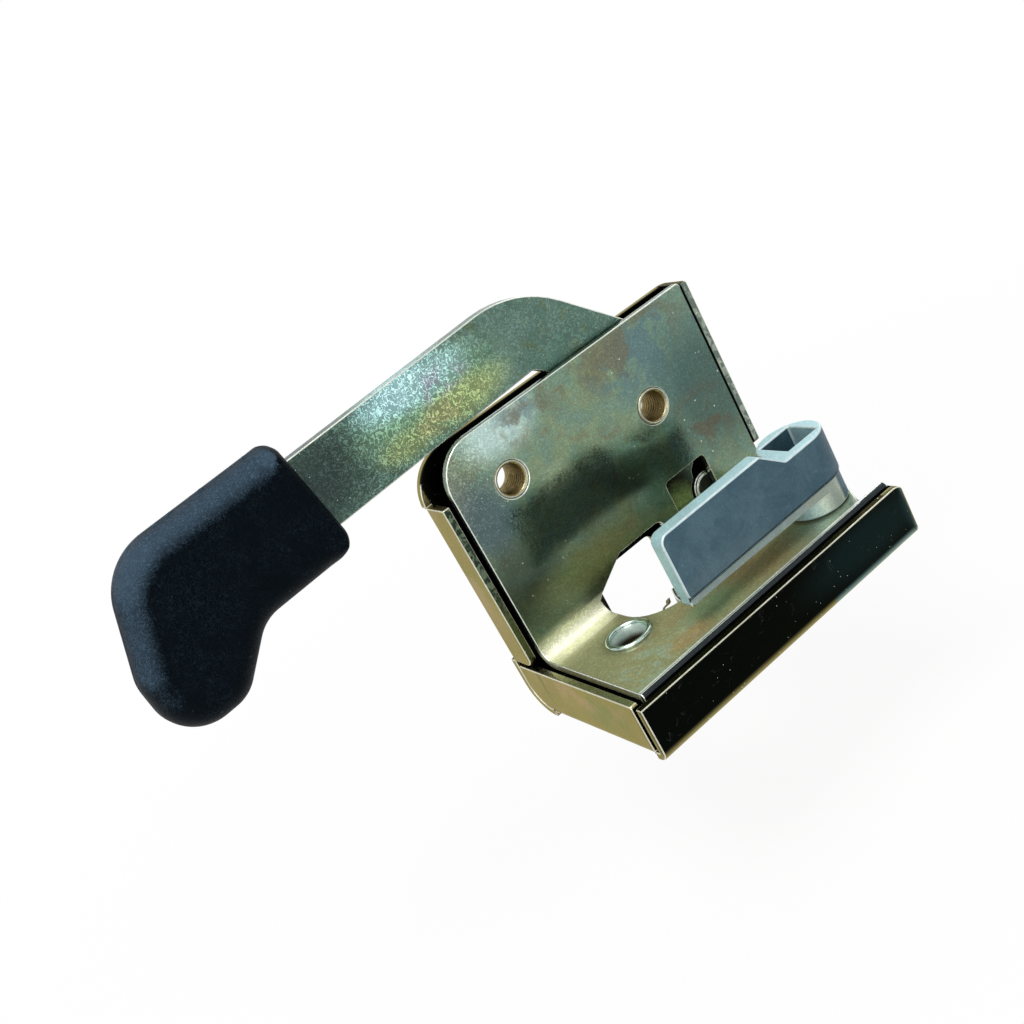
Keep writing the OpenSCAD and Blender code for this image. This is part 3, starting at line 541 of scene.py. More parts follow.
BLUE, BROWN, GOLD = (0.1, 0.175, 0.2), (0.165, 0.143, 0.08), (0.43, 0.42, 0.21)
# Painted shade colours: inside the casing, and on the tray's front wall.
FRONT_WALL_SHADE, INSIDE_SHADE = (0.0022, 0.003, 0.0025), (0.012, 0.013, 0.01)
FINISHES = {
    # Olive chromate of the cover plate, with its blue, brown and bright patches, and painted light:
    # highlights on the upper left and along the bends, shade on the front lip and round the rolled bush.
    "cover": PlatedFinish(
        "olive_chromate", (0.17, 0.265, 0.2), (0.215, 0.285, 0.17), (0.19, 0.2, 0.125), 80.0,
        patches=(
            # Painted highlight on the tall leaf's upper left.
            Patch((0.6, 0.8, 0.76), (-50, 0, 25), (19, 9, 13), 0.75),
            Patch((0.2, 0.23, 0.19), (-71, 0, 15), (9, 6, 14), 0.7),
            Patch((0.09, 0.135, 0.16), (-66, 0, 2), (14, 6, 18), 0.8),
            Patch((0.04, 0.058, 0.04), (-67, 0, -22), (19, 6, 22), 0.85),
            Patch((0.12, 0.22, 0.2), (12, 0, 10), (30, 6, 24), 0.6),
            Patch(BLUE, (8, 0, 18), (44, 6, 18), 0.65, broken=95.0),
            Patch(BLUE, (-42, 0, 25), (12, 6, 8), 0.6, broken=140.0),
            Patch((0.06, 0.11, 0.1), (22, 0, -6), (28, 6, 32), 0.85),
            Patch(BROWN, (-40, 0, 21), (16, 5, 10), 0.65, broken=120.0),
            Patch(BROWN, (0, 0, 22), (34, 5, 14), 0.65, broken=85.0),
            Patch((0.12, 0.09, 0.055), (16, 0, -14), (16, 5, 14), 0.6, broken=90.0),
            Patch((0.3, 0.34, 0.165), (-44, 0, -30), (30, 7, 12), 0.7),
            Patch((0.42, 0.47, 0.28), (-40, 0, 0.5), (9, 6, 6), 0.75),
            Patch((0.24, 0.3, 0.18), (-26, 0, 0.5), (8, 6, 5), 0.5),
            Patch((0.07, 0.09, 0.04), (-16, 0, -14), (13, 6, 9), 0.65),
            # The narrow leaf, which faces up, is gold and brighter than the tall leaf: partly its own tint,
            # partly painted light.
            Patch(GOLD, (-30, -30, -45), (90, 29, 2.5), 1.0, 2.0),
            Patch((0.36, 0.24, 0.1), (-14, -38, -44), (22, 12, 4), 0.7),
            Patch((0.4, 0.3, 0.15), (-40, -34, -44), (36, 16, 4), 0.45, broken=110.0),
            Patch((0.42, 0.6, 0.5), (-60, -40, -44), (28, 14, 4), 0.4, broken=200.0),
            Patch((0.24, 0.36, 0.2), (-34, -38, -44), (14, 9, 4), 0.7),
            Patch((0.5, 0.3, 0.12), (-48, -43, -44), (12, 6, 4), 0.6),
            Patch((0.2, 0.32, 0.27), (16, -44, -44), (26, 14, 4), 0.7),
            # Painted highlight: a thin bright line along the front lip's bend.
            Patch((0.95, 1.0, 0.96), (-22, -48.3, -44.3), (60, 0.75, 0.8), 0.9, 0.3),
            # Painted shade on the front lip's face.
            Patch((0.026, 0.033, 0.036), (-22, -51.4, -49.3), (60, 2.9, 6.6), 1.0, 0.25),
            # Painted shadow round the rolled bush.
            Patch((0.04, 0.045, 0.025), (-54.1, -21, -44), (11.5, 11.5, 4), 1.0),
            # Painted highlight along the bend near the mouth.
            Patch((1.0, 1.0, 0.74), (-58, -2.6, -42), (36, 7, 7), 0.95),
        ),
        coarse=Patch(NO_COLOUR, (-71, 0, 12), (19, 12, 38)),
        dull=Patch(NO_COLOUR, (-30, -27, -45), (90, 23, 3), 0.55, 2.0),
        satin=(
            Patch(NO_COLOUR, (-30, -2.5, -42.5), (90, 5.5, 5.5), 1.0, 2.0),
            Patch(NO_COLOUR, (-61, 0, -34), (24, 6, 14), 0.75),
        ),
        grain=700.0, depth=0.42, bump=0.3, smooth=0.1, rough=0.18, metal=0.9, dust=0.05,
    ),
    # Green chromate of the lever with the bright rainbow across its strip, and painted shadow over its tail
    # inside the casing.
    "lever": PlatedFinish(
        "rainbow_chromate", (0.09, 0.17, 0.135), (0.12, 0.2, 0.165), (0.11, 0.16, 0.09), 95.0,
        patches=(
            Patch((0.03, 0.05, 0.045), (-102, 6, 40), (28, 8, 24), 0.95),
            Patch((0.2, 0.36, 0.22), (-62, 4, 41), (34, 7, 16), 0.85),
            Patch((0.34, 0.42, 0.17), (-52, 4, 36), (22, 7, 8), 0.8),
            Patch((0.34, 0.42, 0.17), (-74, 4, 34), (14, 7, 6), 0.6),
            Patch((0.42, 0.72, 0.74), (-67, 4, 48), (23, 7, 8.5), 0.95),
            Patch((0.36, 0.6, 0.56), (-56, 4, 47), (16, 7, 8), 0.7),
            Patch((0.36, 0.33, 0.42), (-58, 4, 44), (16, 7, 6), 0.6, broken=170.0),
            Patch((0.36, 0.32, 0.16), (-60, 4, 35), (20, 7, 6), 0.5, broken=130.0),
            # Painted shadow over the tail inside the casing, with a painted pool of light where it shows
            # through the window.
            Patch((0.015, 0.014, 0.008), (-5, 4, -29), (14, 7, 16), 1.0),
            Patch((0.28, 0.38, 0.17), (-4, 4, -35), (9, 7, 10), 1.0),
        ),
        coarse=Patch(NO_COLOUR, (-72, 4, 42), (46, 12, 40)),
        grain=600.0, depth=0.7, bump=0.45, smooth=0.18, rough=0.32, metal=0.75, dust=0.05,
    ),
    # Gold chromate of the casing, painted near black inside and on the tray's front wall as shade, with a
    # painted blue sheen at the front wall's right end.
    "casing": PlatedFinish(
        "gold_chromate", (0.3, 0.26, 0.1), (0.27, 0.25, 0.1), (0.33, 0.25, 0.13), 60.0,
        patches=(
            Patch((0.2, 0.24, 0.1), (-77, -30, -52), (6, 18, 9), 0.7, broken=70.0),
            Patch((0.42, 0.3, 0.19), (-77, -22, -48), (6, 32, 9), 0.55, broken=50.0),
            Patch((0.4, 0.3, 0.2), (-77, 7, -8), (5, 9, 40), 0.55, broken=45.0),
            # Painted blue sheen on the front wall's lower bend at its right end.
            Patch((0.15, 0.31, 0.34), (24, -55, -58), (32, 3.6, 14), 0.95, 3.0),
            # Painted shade: near black inside the casing and on the front wall's inner face.
            Patch(INSIDE_SHADE, (-22.4, -15.5, -5), (52.6, 27, 55.5), 1.0, 0.4),
            Patch(INSIDE_SHADE, (-22, -50, -53.9), (55, 1.9, 8.5), 1.0, 0.3),
            # Painted shade: the front wall's outer face is near black above its lower bend.
            Patch(FRONT_WALL_SHADE, (-26, -58, -51), (57, 6.4, 10.4), 1.0, 2.4),
            # Painted shade on the front wall's top face, under the lip.
            Patch(INSIDE_SHADE, (-28, -52.6, -44.4), (52, 1.8, 1.2), 1.0, 0.2),
            # Painted blue sheen on the front wall's right end and its return.
            Patch((0.006, 0.016, 0.017), (14, -54, -52), (40, 2.5, 10), 0.8),
            Patch((0.016, 0.035, 0.04), (31, -53, -54), (5, 6, 12), 0.8),
            Patch((0.026, 0.042, 0.028), (-75.6, -0.2, -14), (1.25, 0.9, 58), 1.0, 0.3),
            Patch((0.2, 0.26, 0.17), (-75.6, -0.2, -14), (1.25, 0.9, 58), 0.6, 0.3, broken=520.0),
            Patch((0.1, 0.12, 0.05), (-75.6, -0.2, -38), (3, 2, 26), 0.9),
            Patch((0.13, 0.175, 0.15), (29.2, -0.2, -2), (1.4, 0.9, 58), 1.0, 0.3),
            Patch((0.36, 0.42, 0.34), (29.2, -0.2, -2), (1.4, 0.9, 58), 0.7, 0.3, broken=520.0),
            Patch((0.62, 0.6, 0.36), (-75.7, -22, -44.9), (1.5, 27, 0.5), 0.9, 0.25),
        ),
        grain=1500.0, depth=0.3, bump=0.12, smooth=0.2, rough=0.32, metal=1.0, dust=0.14, scuffs=90.0,
        rim=(0.78, 0.73, 0.55),
    ),
    "edge": PlatedFinish(
        "bright_cut_edge", (0.62, 0.68, 0.6), (0.78, 0.8, 0.72), (0.5, 0.58, 0.54), 260.0,
        # Painted shade on the leaf's edge in the gap beside the right flange.
        patches=(Patch((0.02, 0.026, 0.02), (28.6, 0, -4), (1.6, 2, 30), 1.0, 0.3),),
        grain=2400.0, depth=0.2, bump=0.1, smooth=0.2, rough=0.34,
    ),
    "fold": PlatedFinish(
        "worn_fold", (0.6, 0.59, 0.46), (0.7, 0.69, 0.57), (0.5, 0.49, 0.37), 200.0,
        # Painted shade on the softened edges inside the casing.
        patches=(Patch(INSIDE_SHADE, (-22.4, -19.5, -5), (52.3, 33.2, 55), 1.0, 0.3),),
        grain=2000.0, depth=0.25, bump=0.1, smooth=0.25, rough=0.4,
    ),
    # Blue-grey die casting with a fine open grain, and painted light: paler on what faces up and left, a
    # highlight on the boss's lower left and shade on its right side.
    "cast": PlatedFinish(
        "blue_grey_casting", (0.045, 0.1, 0.132), (0.07, 0.135, 0.17), (0.055, 0.11, 0.14), 90.0,
        patches=(
            # Painted highlight on the boss's lower left.
            Patch((0.9, 0.95, 0.74), (6, -36, -41), (13, 9.5, 7), 0.95, 2.4),
            # Painted shade on the boss's right side.
            Patch((0.09, 0.135, 0.19), (24, -40, -34), (9, 10, 10), 0.7),
            Patch((0.1, 0.16, 0.19), (-30, -45, -34), (30, 4, 8), 0.6),
            Patch((0.3, 0.38, 0.36), (-24, -45, -36.2), (28, 4, 1.6), 0.9, 0.4),
        ),
        grain=1300.0, depth=0.5, bump=0.3, smooth=0.42, rough=0.58, metal=0.6, dust=0.03,
        dust_colour=(0.3, 0.36, 0.38), pale=(0.4, 0.6, 0.63),
    ),
    "cast_edge": PlatedFinish(
        "pale_cast_edge", (0.52, 0.64, 0.67), (0.62, 0.72, 0.72), (0.44, 0.56, 0.6), 200.0,
        patches=(Patch((0.018, 0.028, 0.036), (-12, -44, -34.6), (33, 5, 0.8), 1.0, 0.15),),
        grain=1600.0, depth=0.2, bump=0.2, smooth=0.4, rough=0.55, metal=0.6,
    ),
    "brass": PlatedFinish(
        "brass_bore", (0.24, 0.19, 0.075), (0.34, 0.27, 0.12), (0.16, 0.12, 0.045), 300.0,
        grain=1800.0, depth=0.25, smooth=0.25, rough=0.4,
    ),
    "steel": PlatedFinish(
        "bright_steel", (0.42, 0.47, 0.42), (0.55, 0.6, 0.54), (0.34, 0.38, 0.34), 220.0,
        grain=2000.0, depth=0.2, bump=0.15, smooth=0.18, rough=0.32,
    ),
    "collar": PlatedFinish(
        "zinc_collar", (0.44, 0.56, 0.5), (0.54, 0.64, 0.57), (0.36, 0.46, 0.42), 220.0,
        # Painted shade: darker and brown deeper down the bore.
        patches=(Patch((0.04, 0.027, 0.014), (-54.1, -21, -56), (9, 9, 10.4), 1.0, 2.2),),
        dull=Patch(NO_COLOUR, (-54.1, -21, -53), (6.2, 6.2, 9.2), 1.0, 0.4),
        grain=1600.0, depth=0.1, bump=0.05, smooth=0.14, rough=0.24, metal=1.0,
    ),
    "dark": PlatedFinish(
        "oiled_steel", (0.03, 0.035, 0.03), (0.05, 0.055, 0.045), (0.02, 0.022, 0.02), 220.0,
        grain=2000.0, depth=0.2, smooth=0.3, rough=0.45,
    ),
    "wire": PlatedFinish(
        "tarnished_wire", (0.13, 0.1, 0.05), (0.17, 0.14, 0.075), (0.08, 0.065, 0.035), 300.0,
        grain=2000.0, depth=0.2, smooth=0.3, rough=0.45,
    ),
    "inner": PlatedFinish(
        "inner_zinc", (0.1, 0.13, 0.06), (0.15, 0.16, 0.08), (0.08, 0.1, 0.07), 120.0,
        grain=1700.0, depth=0.25,
    ),
    "grip": GripFinish("black_grip"),
}


def add_object(name: str, data: bpy.types.ID) -> Piece:
    """Put an object into the scene.

    Args:
        name: Name of the object.
        data: Its mesh, lamp or camera.

    Returns:
        The new object, at the origin.
    """
    made = bpy.data.objects.new(name, data)
    bpy.context.scene.collection.objects.link(made)
    return made


def stand(made: Piece, axes: Sequence[np.ndarray], at: Sequence[float]) -> None:
    """Turn an object and put it in its place.

    Args:
        made: The object.
        axes: Where its own x, y and z point.
        at: Its place in metres.
    """
    turn = np.eye(4)
    turn[:3, :3] = np.stack(axes, -1)
    turn[:3, 3] = at
    made.matrix_world = Matrix(turn.tolist())


def add_mesh(name: str, points: np.ndarray, faces: Sequence[Sequence[int]]) -> Piece:
    """Put a worked-out surface into the scene, shaded smooth.

    Args:
        name: Name of the piece.
        points: Array of points in metres, one row each.
        faces: Corner numbers of each face.

    Returns:
        The new object, at the origin.
    """
    mesh = bpy.data.meshes.new(name)
    mesh.from_pydata(points.tolist(), [], [list(face) for face in faces])
    mesh.polygons.foreach_set("use_smooth", np.ones(len(mesh.polygons), bool))
    mesh.update()
    return add_object(name, mesh)


def add_light_facing(mesh: bpy.types.Mesh, domain: str, way: Triple) -> None:
    """Store how far each face or point looks one way, from 0 to 1, which the finishes use to paint light.

    Args:
        mesh: The mesh.
        domain: FACE or POINT.
        way: Unit vector of the way, such as up and left.
    """
    items = mesh.polygons if domain == "FACE" else mesh.vertices
    normals = np.empty(len(items) * 3, np.float32)
    items.foreach_get("normal", normals)
    lift = np.clip(normals.reshape(-1, 3) @ np.array(way, np.float32), 0, 1)
    mesh.attributes.new(LIGHT_FACING, "FLOAT", domain).data.foreach_set("value", lift.astype(np.float32))


def ring_faces(rows: int, columns: int, loop_rows: bool = False) -> list[list[int]]:
    """Faces of a grid of closed rings.

    Args:
        rows: Number of rings.
        columns: Points in each ring.
        loop_rows: Whether the last ring joins the first. If not, both get a flat face.

    Returns:
        Corner numbers of each face.
    """
    starts = np.arange(rows if loop_rows else rows - 1)
    row, column = np.meshgrid(starts, np.arange(columns), indexing="ij")
    here, across = row * columns + column, row * columns + (column + 1) % columns
    after = (row + 1) % rows * columns
    quads = np.stack([here, across, after + (column + 1) % columns, after + column], -1)
    faces = quads.reshape(-1, 4).tolist()
    if not loop_rows:
        faces.append(list(range(columns))[::-1])
        faces.append(list(range((rows - 1) * columns, rows * columns)))
    return faces


def unit(rows: np.ndarray) -> np.ndarray:
    """Rows scaled to a length of 1."""
    return rows / np.linalg.norm(rows, axis=1, keepdims=True)


def tube(path: np.ndarray, radius: np.ndarray, sides: int = 12) -> tuple[np.ndarray, list[list[int]]]:
    """Round wire along a path: a circle in each point's normal plane, with flat ends.

    Args:
        path: Points along the middle, one row each.
        radius: Radius of the wire at each point.
        sides: Points round it.

    Returns:
        The points and the faces.
    """
    along = unit(np.gradient(path, axis=0))
    guide = np.array([0.9, 0.35, 0.2])
    across = unit(np.cross(along, guide))
    rise = np.cross(along, across)
    angle = np.linspace(0, 2 * np.pi, sides, endpoint=False)
    ring = np.cos(angle)[None, :, None] * across[:, None] + np.sin(angle)[None, :, None] * rise[:, None]
    points = (path[:, None] + radius[:, None, None] * ring).reshape(-1, 3)
    return points, ring_faces(len(path), sides)


def rounded(corners: Sequence[Triple], step: float) -> np.ndarray:
    """Closed outline with round corners, spaced evenly.

    Each corner is an arc that meets both of its sides, and the outline is then measured along
    its length and cut into equal steps.

    Args:
        corners: Place and radius of each corner.
        step: Distance between points.

    Returns:
        Array of points, one row each.
    """
    given = np.array(corners, float)
    at, radius = given[:, :2], given[:, 2]
    to_last, to_next = unit(np.roll(at, 1, 0) - at), unit(np.roll(at, -1, 0) - at)
    half = np.arccos(np.clip((to_last * to_next).sum(1), -1, 1)) / 2
    centre = at + unit(to_last + to_next) * (radius / np.sin(half))[:, None]
    start = at + to_last * (radius / np.tan(half))[:, None] - centre
    side = np.sign(to_last[:, 0] * to_next[:, 1] - to_last[:, 1] * to_next[:, 0])
    first = np.arctan2(start[:, 1], start[:, 0])
    angle = first[:, None] - (side * (np.pi - 2 * half))[:, None] * np.linspace(0, 1, ARC_POINTS)[None]
    arcs = centre[:, None] + radius[:, None, None] * np.stack([np.cos(angle), np.sin(angle)], -1)
    line = np.vstack([arcs.reshape(-1, 2), arcs[0, :1]])
    run = np.concatenate([[0], np.cumsum(np.linalg.norm(np.diff(line, axis=0), axis=1))])
    even = np.linspace(0, run[-1], int(run[-1] / step), endpoint=False)
    return np.stack([np.interp(even, run, line[:, 0]), np.interp(even, run, line[:, 1])], -1)


@dataclass
class DressedPart:
    """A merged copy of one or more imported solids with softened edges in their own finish."""

    nodes: dict[str, Piece]
    names: tuple[str, ...]
    body: Body
    slot: Slot
    face: Material
    edge: Material
    width: float = 0.3
    segments: int = 2
    limit: float = 38.0
    flat_turn: float = 0.4
    touch: float = 1e-5
    facing: float = -0.99
    same_point: float = 2e-6
    stray: float = 0.45
    flat_weight: int = 100

    def inner_faces(self, shape: bmesh.types.BMesh, counts: Sequence[int]) -> list[bmesh.types.BMFace]:
        """Faces where two solids of one sheet meet: a face of another solid lies on them, facing them.

        Args:
            shape: The solids in one mesh, in order.
            counts: Number of faces of each solid.

        Returns:
            The faces to take out.
        """
        shape.faces.ensure_lookup_table()
        starts = np.concatenate([[0], np.cumsum(counts)])
        groups = [shape.faces[starts[i]:starts[i + 1]] for i in range(len(counts))]
        trees = []
        for group in groups:
            corners = [v.co for face in group for v in face.verts]
            trees.append(BVHTree.FromPolygons(corners, np.arange(len(corners)).reshape(-1, 3).tolist()))
        found = []
        for index, group in enumerate(groups):
            for other in (tree for place, tree in enumerate(trees) if place != index):
                for face in group:
                    spot, normal, _, _ = other.find_nearest(face.calc_center_median(), self.touch)
                    if spot is not None and normal.dot(face.normal) < self.facing:
                        found.append(face)
        return list(set(found))

    def merged(self) -> bpy.types.Mesh:
        """Copy the solids into one mesh without doubled points or inner faces.

        Returns:
            The mesh.
        """
        shape = bmesh.new()
        counts = []
        for name in self.names:
            before = len(shape.faces)
            shape.from_mesh(self.nodes[name].data)
            counts.append(len(shape.faces) - before)
        if len(counts) > 1:
            bmesh.ops.delete(shape, geom=self.inner_faces(shape, counts), context="FACES")
        bmesh.ops.remove_doubles(shape, verts=shape.verts, dist=self.same_point)
        bmesh.ops.dissolve_limit(shape, angle_limit=math.radians(self.flat_turn),
                                 verts=shape.verts, edges=shape.edges)
        open_edges = sum(not edge.is_manifold for edge in shape.edges)
        if open_edges:
            LOG.warning("%s has %d open edges", self.names[0], open_edges)
        self.soften(shape)
        mesh = bpy.data.meshes.new("dressed_" + self.names[0])
        shape.to_mesh(mesh)
        shape.free()
        return mesh

    def soften(self, shape: bmesh.types.BMesh) -> None:
        """Bevel the sharp edges, and put points that stray from the solid back on its surface.

        Args:
            shape: The merged solids.
        """
        solid = BVHTree.FromBMesh(shape)
        limit = math.radians(self.limit)
        sharp = [edge for edge in shape.edges if edge.is_manifold and edge.calc_face_angle() > limit]
        bmesh.ops.bevel(shape, geom=sharp, offset=self.width * MM, segments=self.segments, profile=0.5,
                        affect="EDGES", clamp_overlap=False, material=1)
        for point in shape.verts:
            spot, _, _, away = solid.find_nearest(point.co)
            if away > self.stray * self.width * MM:
                point.co = spot
        bmesh.ops.recalc_face_normals(shape, faces=shape.faces)

    def build(self) -> Piece:
        """Merge and bevel the solids, and let the piece stand for their nodes.

        Returns:
            The dressed piece.
        """
        mesh = self.merged()
        mesh.materials.append(self.face)
        mesh.materials.append(self.edge)
        mesh.polygons.foreach_set("use_smooth", np.ones(len(mesh.polygons), bool))
        add_light_facing(mesh, "FACE", LIGHT_WAY)
        piece = add_object(mesh.name, mesh)
        piece.modifiers.new("flat_faces", "WEIGHTED_NORMAL").weight = self.flat_weight
        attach(piece, self.body.value)
        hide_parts(*self.names)
        return piece


@dataclass
class Grip:
    """Moulded grip: a boot-shaped outline drawn in along a quarter circle towards both faces."""

    finish: Material
    height: float = 38.6
    length: float = 66.3
    toe_height: float = 52.3
    thickness: float = 19.0
    edge_radius: float = 8.5
    from_pivot: float = 103.6
    strip_middle: float = 43.6
    lever_middle: float = 6.0
    tilt: float = 3.0
    layers: int = 22
    skin: float = 0.3
    step: float = 0.6
    mouth_ease: float = 0.36
    ease_length: float = 11.0
    full_ease: float = 0.9
    ridge: float = 0.12
    flash: float = 0.2
    flash_band: float = 1.5

    def outline(self) -> np.ndarray:
        """Outline in the strip's own frame, in millimetres, from the middle of the mouth."""
        half = self.height / 2
        toe = half - self.toe_height
        return rounded([
            (-0.8, half, 4), (3, -half, 7), (-29.6, -half, 11), (-44.8, toe, 12),
            (-self.length, toe, 13.5), (-self.length, toe + 20.9, 12), (-self.length + 12.1, half, 19),
        ], self.step)

    def surface(self) -> tuple[np.ndarray, list[list[int]]]:
        """Work out the skin.

        A ring is the outline moved inward by r(1 - cos a), at depth r sin a beyond the flat band,
        with a from 90 degrees at one face to 90 at the other. The inset eases off near the mouth.
        A ridge of a tenth of a millimetre runs round the middle, where the mould parts, and along
        the top edge it swells into ragged flash by the sum of two sines of the distance. The skin
        lies a little inside the solid, so that the flash stays within it.

        Returns:
            The points in metres and the faces.
        """
        line = self.outline()
        way = unit(np.roll(line, -1, 0) - np.roll(line, 1, 0))
        inward = np.stack([way[:, 1], -way[:, 0]], -1)
        inside = np.maximum(0.0, -line[:, 0])
        ease = np.minimum(1.0, self.mouth_ease + inside / self.ease_length) * self.full_ease
        angle = np.linspace(0, np.pi / 2, self.layers)
        inset, depth = self.edge_radius * (1 - np.cos(angle)), self.edge_radius * np.sin(angle)
        flat = self.thickness / 2 - self.edge_radius
        top = np.clip((line[:, 1] - self.height / 2 + self.flash_band) / self.flash_band, 0, 1)
        ragged = np.clip(np.sin(0.5 * line[:, 0]) + np.sin(1.3 * line[:, 0]), 0, None)
        flash = self.ridge + self.flash * top * ragged
        ridge = np.array([0.0, -1.0, -1.0, 0.0])
        ridge_depth = np.array([-0.35, -0.12, 0.12, 0.35])
        insets = np.concatenate([inset[::-1], 0 * ridge, inset])
        ridges = np.concatenate([0 * inset, ridge, 0 * inset])
        depths = np.concatenate([-flat - depth[::-1], ridge_depth, flat + depth])
        moved = self.skin + insets[:, None] * ease[None] + ridges[:, None] * flash[None]
        plan = line[None] + inward[None] * moved[..., None]
        x, z = plan[..., 0] - self.from_pivot, plan[..., 1] + self.strip_middle
        cos, sin = math.cos(math.radians(self.tilt)), math.sin(math.radians(self.tilt))
        y = np.broadcast_to((self.lever_middle + depths)[:, None], x.shape)
        points = np.stack([x * cos - z * sin, y, x * sin + z * cos], -1).reshape(-1, 3) * MM
        return points, ring_faces(len(insets), len(line))

    def build(self) -> Piece:
        """Make the grip and let it stand for its solid.

        Returns:
            The grip.
        """
        piece = add_mesh("moulded_grip", *self.surface())
        add_light_facing(piece.data, "POINT", SHINE_WAY)
        piece.data.materials.append(self.finish)
        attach(piece, Body.HANDLE.value)
        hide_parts("handle_grip")
        return piece


@dataclass
class ThreadRings:
    """Thread cut in a bush's bore, as a closed sleeve."""

    name: str
    finish: Material
    centre: tuple[float, float]
    start: float
    length: float
    radius: float = 4.59
    depth: float = 0.3
    pitch: float = 1.25
    wall: float = 0.02
    end_share: float = 0.05
    sides: int = 56
    rows_per_turn: int = 8

    def build(self) -> Piece:
        """Make the sleeve.

        The inner wall's radius falls and rises by a triangle wave of the distance along the bore
        less the turn's share of the pitch; the outer wall is plain.

        Returns:
            The sleeve.
        """
        turn = np.linspace(0, 2 * np.pi, self.sides, endpoint=False)
        along = np.linspace(0, self.length, int(self.length / self.pitch * self.rows_per_turn))
        phase = along[:, None] / self.pitch - turn[None] / (2 * np.pi)
        wave = np.abs(2 * (phase - np.floor(phase)) - 1)
        fade = np.clip(np.minimum(along, self.length - along) / self.pitch, self.end_share, 1)
        inner = self.radius - self.wall - self.depth * wave * fade[:, None]
        outer = np.full_like(inner, self.radius)
        radius = np.concatenate([inner, outer[::-1]])
        y = self.start + np.concatenate([along, along[::-1]])
        points = np.stack([
            self.centre[0] + radius * np.cos(turn)[None],
            np.broadcast_to(y[:, None], radius.shape),
            self.centre[1] + radius * np.sin(turn)[None],
        ], -1).reshape(-1, 3) * MM
        piece = add_mesh(self.name, points, ring_faces(len(radius), self.sides, True))
        piece.data.materials.append(self.finish)
        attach(piece, Body.HOUSING.value)
        return piece


@dataclass
class RolledBush:
    """Bush with a rolled rim and a flared mouth: one closed profile turned about its axis."""

    finish: Material
    centre: tuple[float, float] = (-54.1, -21.0)
    leaf_top: float = -44.0
    leaf: float = 2.5
    rim: float = 7.4
    roll: float = 0.8
    rise: float = 0.4
    bore: float = 5.0
    flare: float = 3.4
    neck: float = 5.7
    tray_top: float = -16.2
    foot: float = -18.7
    sides: int = 72
    sharp: float = 40.0
    roll_from: float = -30.0
    roll_to: float = 180.0
    roll_points: int = 30
    flare_points: int = 16

    def profile(self) -> np.ndarray:
        """Radius and height round the section, from the rim's outer foot over the roll and down the bore.

        The roll is an arc of a circle. The flare's radius shrinks to the bore's by the square of what
        is left of its depth. Straight lines follow the neck and the body back up to the rim.

        Returns:
            Array of radius and height, one row each.
        """
        turn = np.radians(np.linspace(self.roll_from, self.roll_to, self.roll_points))
        middle = self.rim - self.roll
        roll = np.stack([middle + self.roll * np.cos(turn), self.rise + self.roll * np.sin(turn)], -1)
        share = np.linspace(0, 1, self.flare_points)[1:]
        wide = middle - self.roll - self.bore
        flare = np.stack([self.bore + wide * (1 - share) ** 2, self.rise - self.flare * share], -1)
        body = [
            (self.bore, self.foot), (self.neck, self.foot), (self.neck, self.tray_top),
            (self.rim, self.tray_top), (self.rim, -self.leaf), (self.neck, -self.leaf), (self.neck, 0.0),
        ]
        return np.vstack([roll, flare, body])

    def build(self) -> Piece:
        """Turn the profile and let the bush stand for its solid.

        Returns:
            The bush.
        """
        section = self.profile()
        turn = np.linspace(0, 2 * np.pi, self.sides, endpoint=False)
        radius, height = section[:, :1], section[:, 1:]
        points = np.stack([
            self.centre[0] + radius * np.cos(turn)[None],
            self.centre[1] + radius * np.sin(turn)[None],
            np.broadcast_to(self.leaf_top + height, (len(section), self.sides)),
        ], -1).reshape(-1, 3) * MM
        piece = add_mesh("rolled_bush", points, ring_faces(len(section), self.sides, True))
        piece.data.set_sharp_from_angle(angle=math.radians(self.sharp))
        piece.data.materials.append(self.finish)
        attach(piece, Body.HOUSING.value)
        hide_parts("edge_bush")
        return piece


@dataclass
class SpringHook:
    """End of the claw's spring, turned up through the mouth beside its front edge."""

    finish: Material
    corners: tuple[Triple, ...] = (
        (-35.6, -23.4, -48.5), (-38.0, -21.5, -48.0), (-40.8, -21.0, -46.4), (-40.4, -21.3, -44.3),
        (-38.5, -21.4, -44.1), (-37.7, -21.4, -43.5), (-36.9, -21.4, -42.7),
    )
    radius: float = 0.3
    head_radius: float = 0.8
    head_length: float = 2.4
    tip_radius: float = 0.06
    rounds: int = 3

    def build(self) -> Piece:
        """Make the hook: a round wire along a smooth curve that its corners guide.

        The curve is three rounds of corner cutting, which is a quadratic spline of the corners.
        The last stretch swells to a flattened head and runs out to a point.

        Returns:
            The hook.
        """
        path = np.array(self.corners)
        for _ in range(self.rounds):
            ahead = np.stack([0.75 * path[:-1] + 0.25 * path[1:], 0.25 * path[:-1] + 0.75 * path[1:]], 1)
            path = np.vstack([path[:1], ahead.reshape(-1, 3), path[-1:]])
        steps = np.linalg.norm(np.diff(path, axis=0), axis=1)
        left = np.concatenate([np.cumsum(steps[::-1])[::-1], [0]])
        radius = np.interp(left, (0, self.head_length / 2, self.head_length),
                           (self.tip_radius, self.head_radius, self.radius))
        piece = add_mesh("spring_hook", *tube(path * MM, radius * MM))
        piece.data.materials.append(self.finish)
        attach(piece, Body.HOUSING.value)
        return piece


@dataclass
class Assembly:
    """Pieces of the lock that are dressed together."""

    nodes: dict[str, Piece]
    look: dict[str, Material]

    def plain(self, finish: Material, *names: str) -> None:
        """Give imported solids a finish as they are.

        Args:
            finish: The material.
            names: Names of the solids.
        """
        for name in names:
            materials = self.nodes[name].data.materials
            materials.clear()
            materials.append(finish)


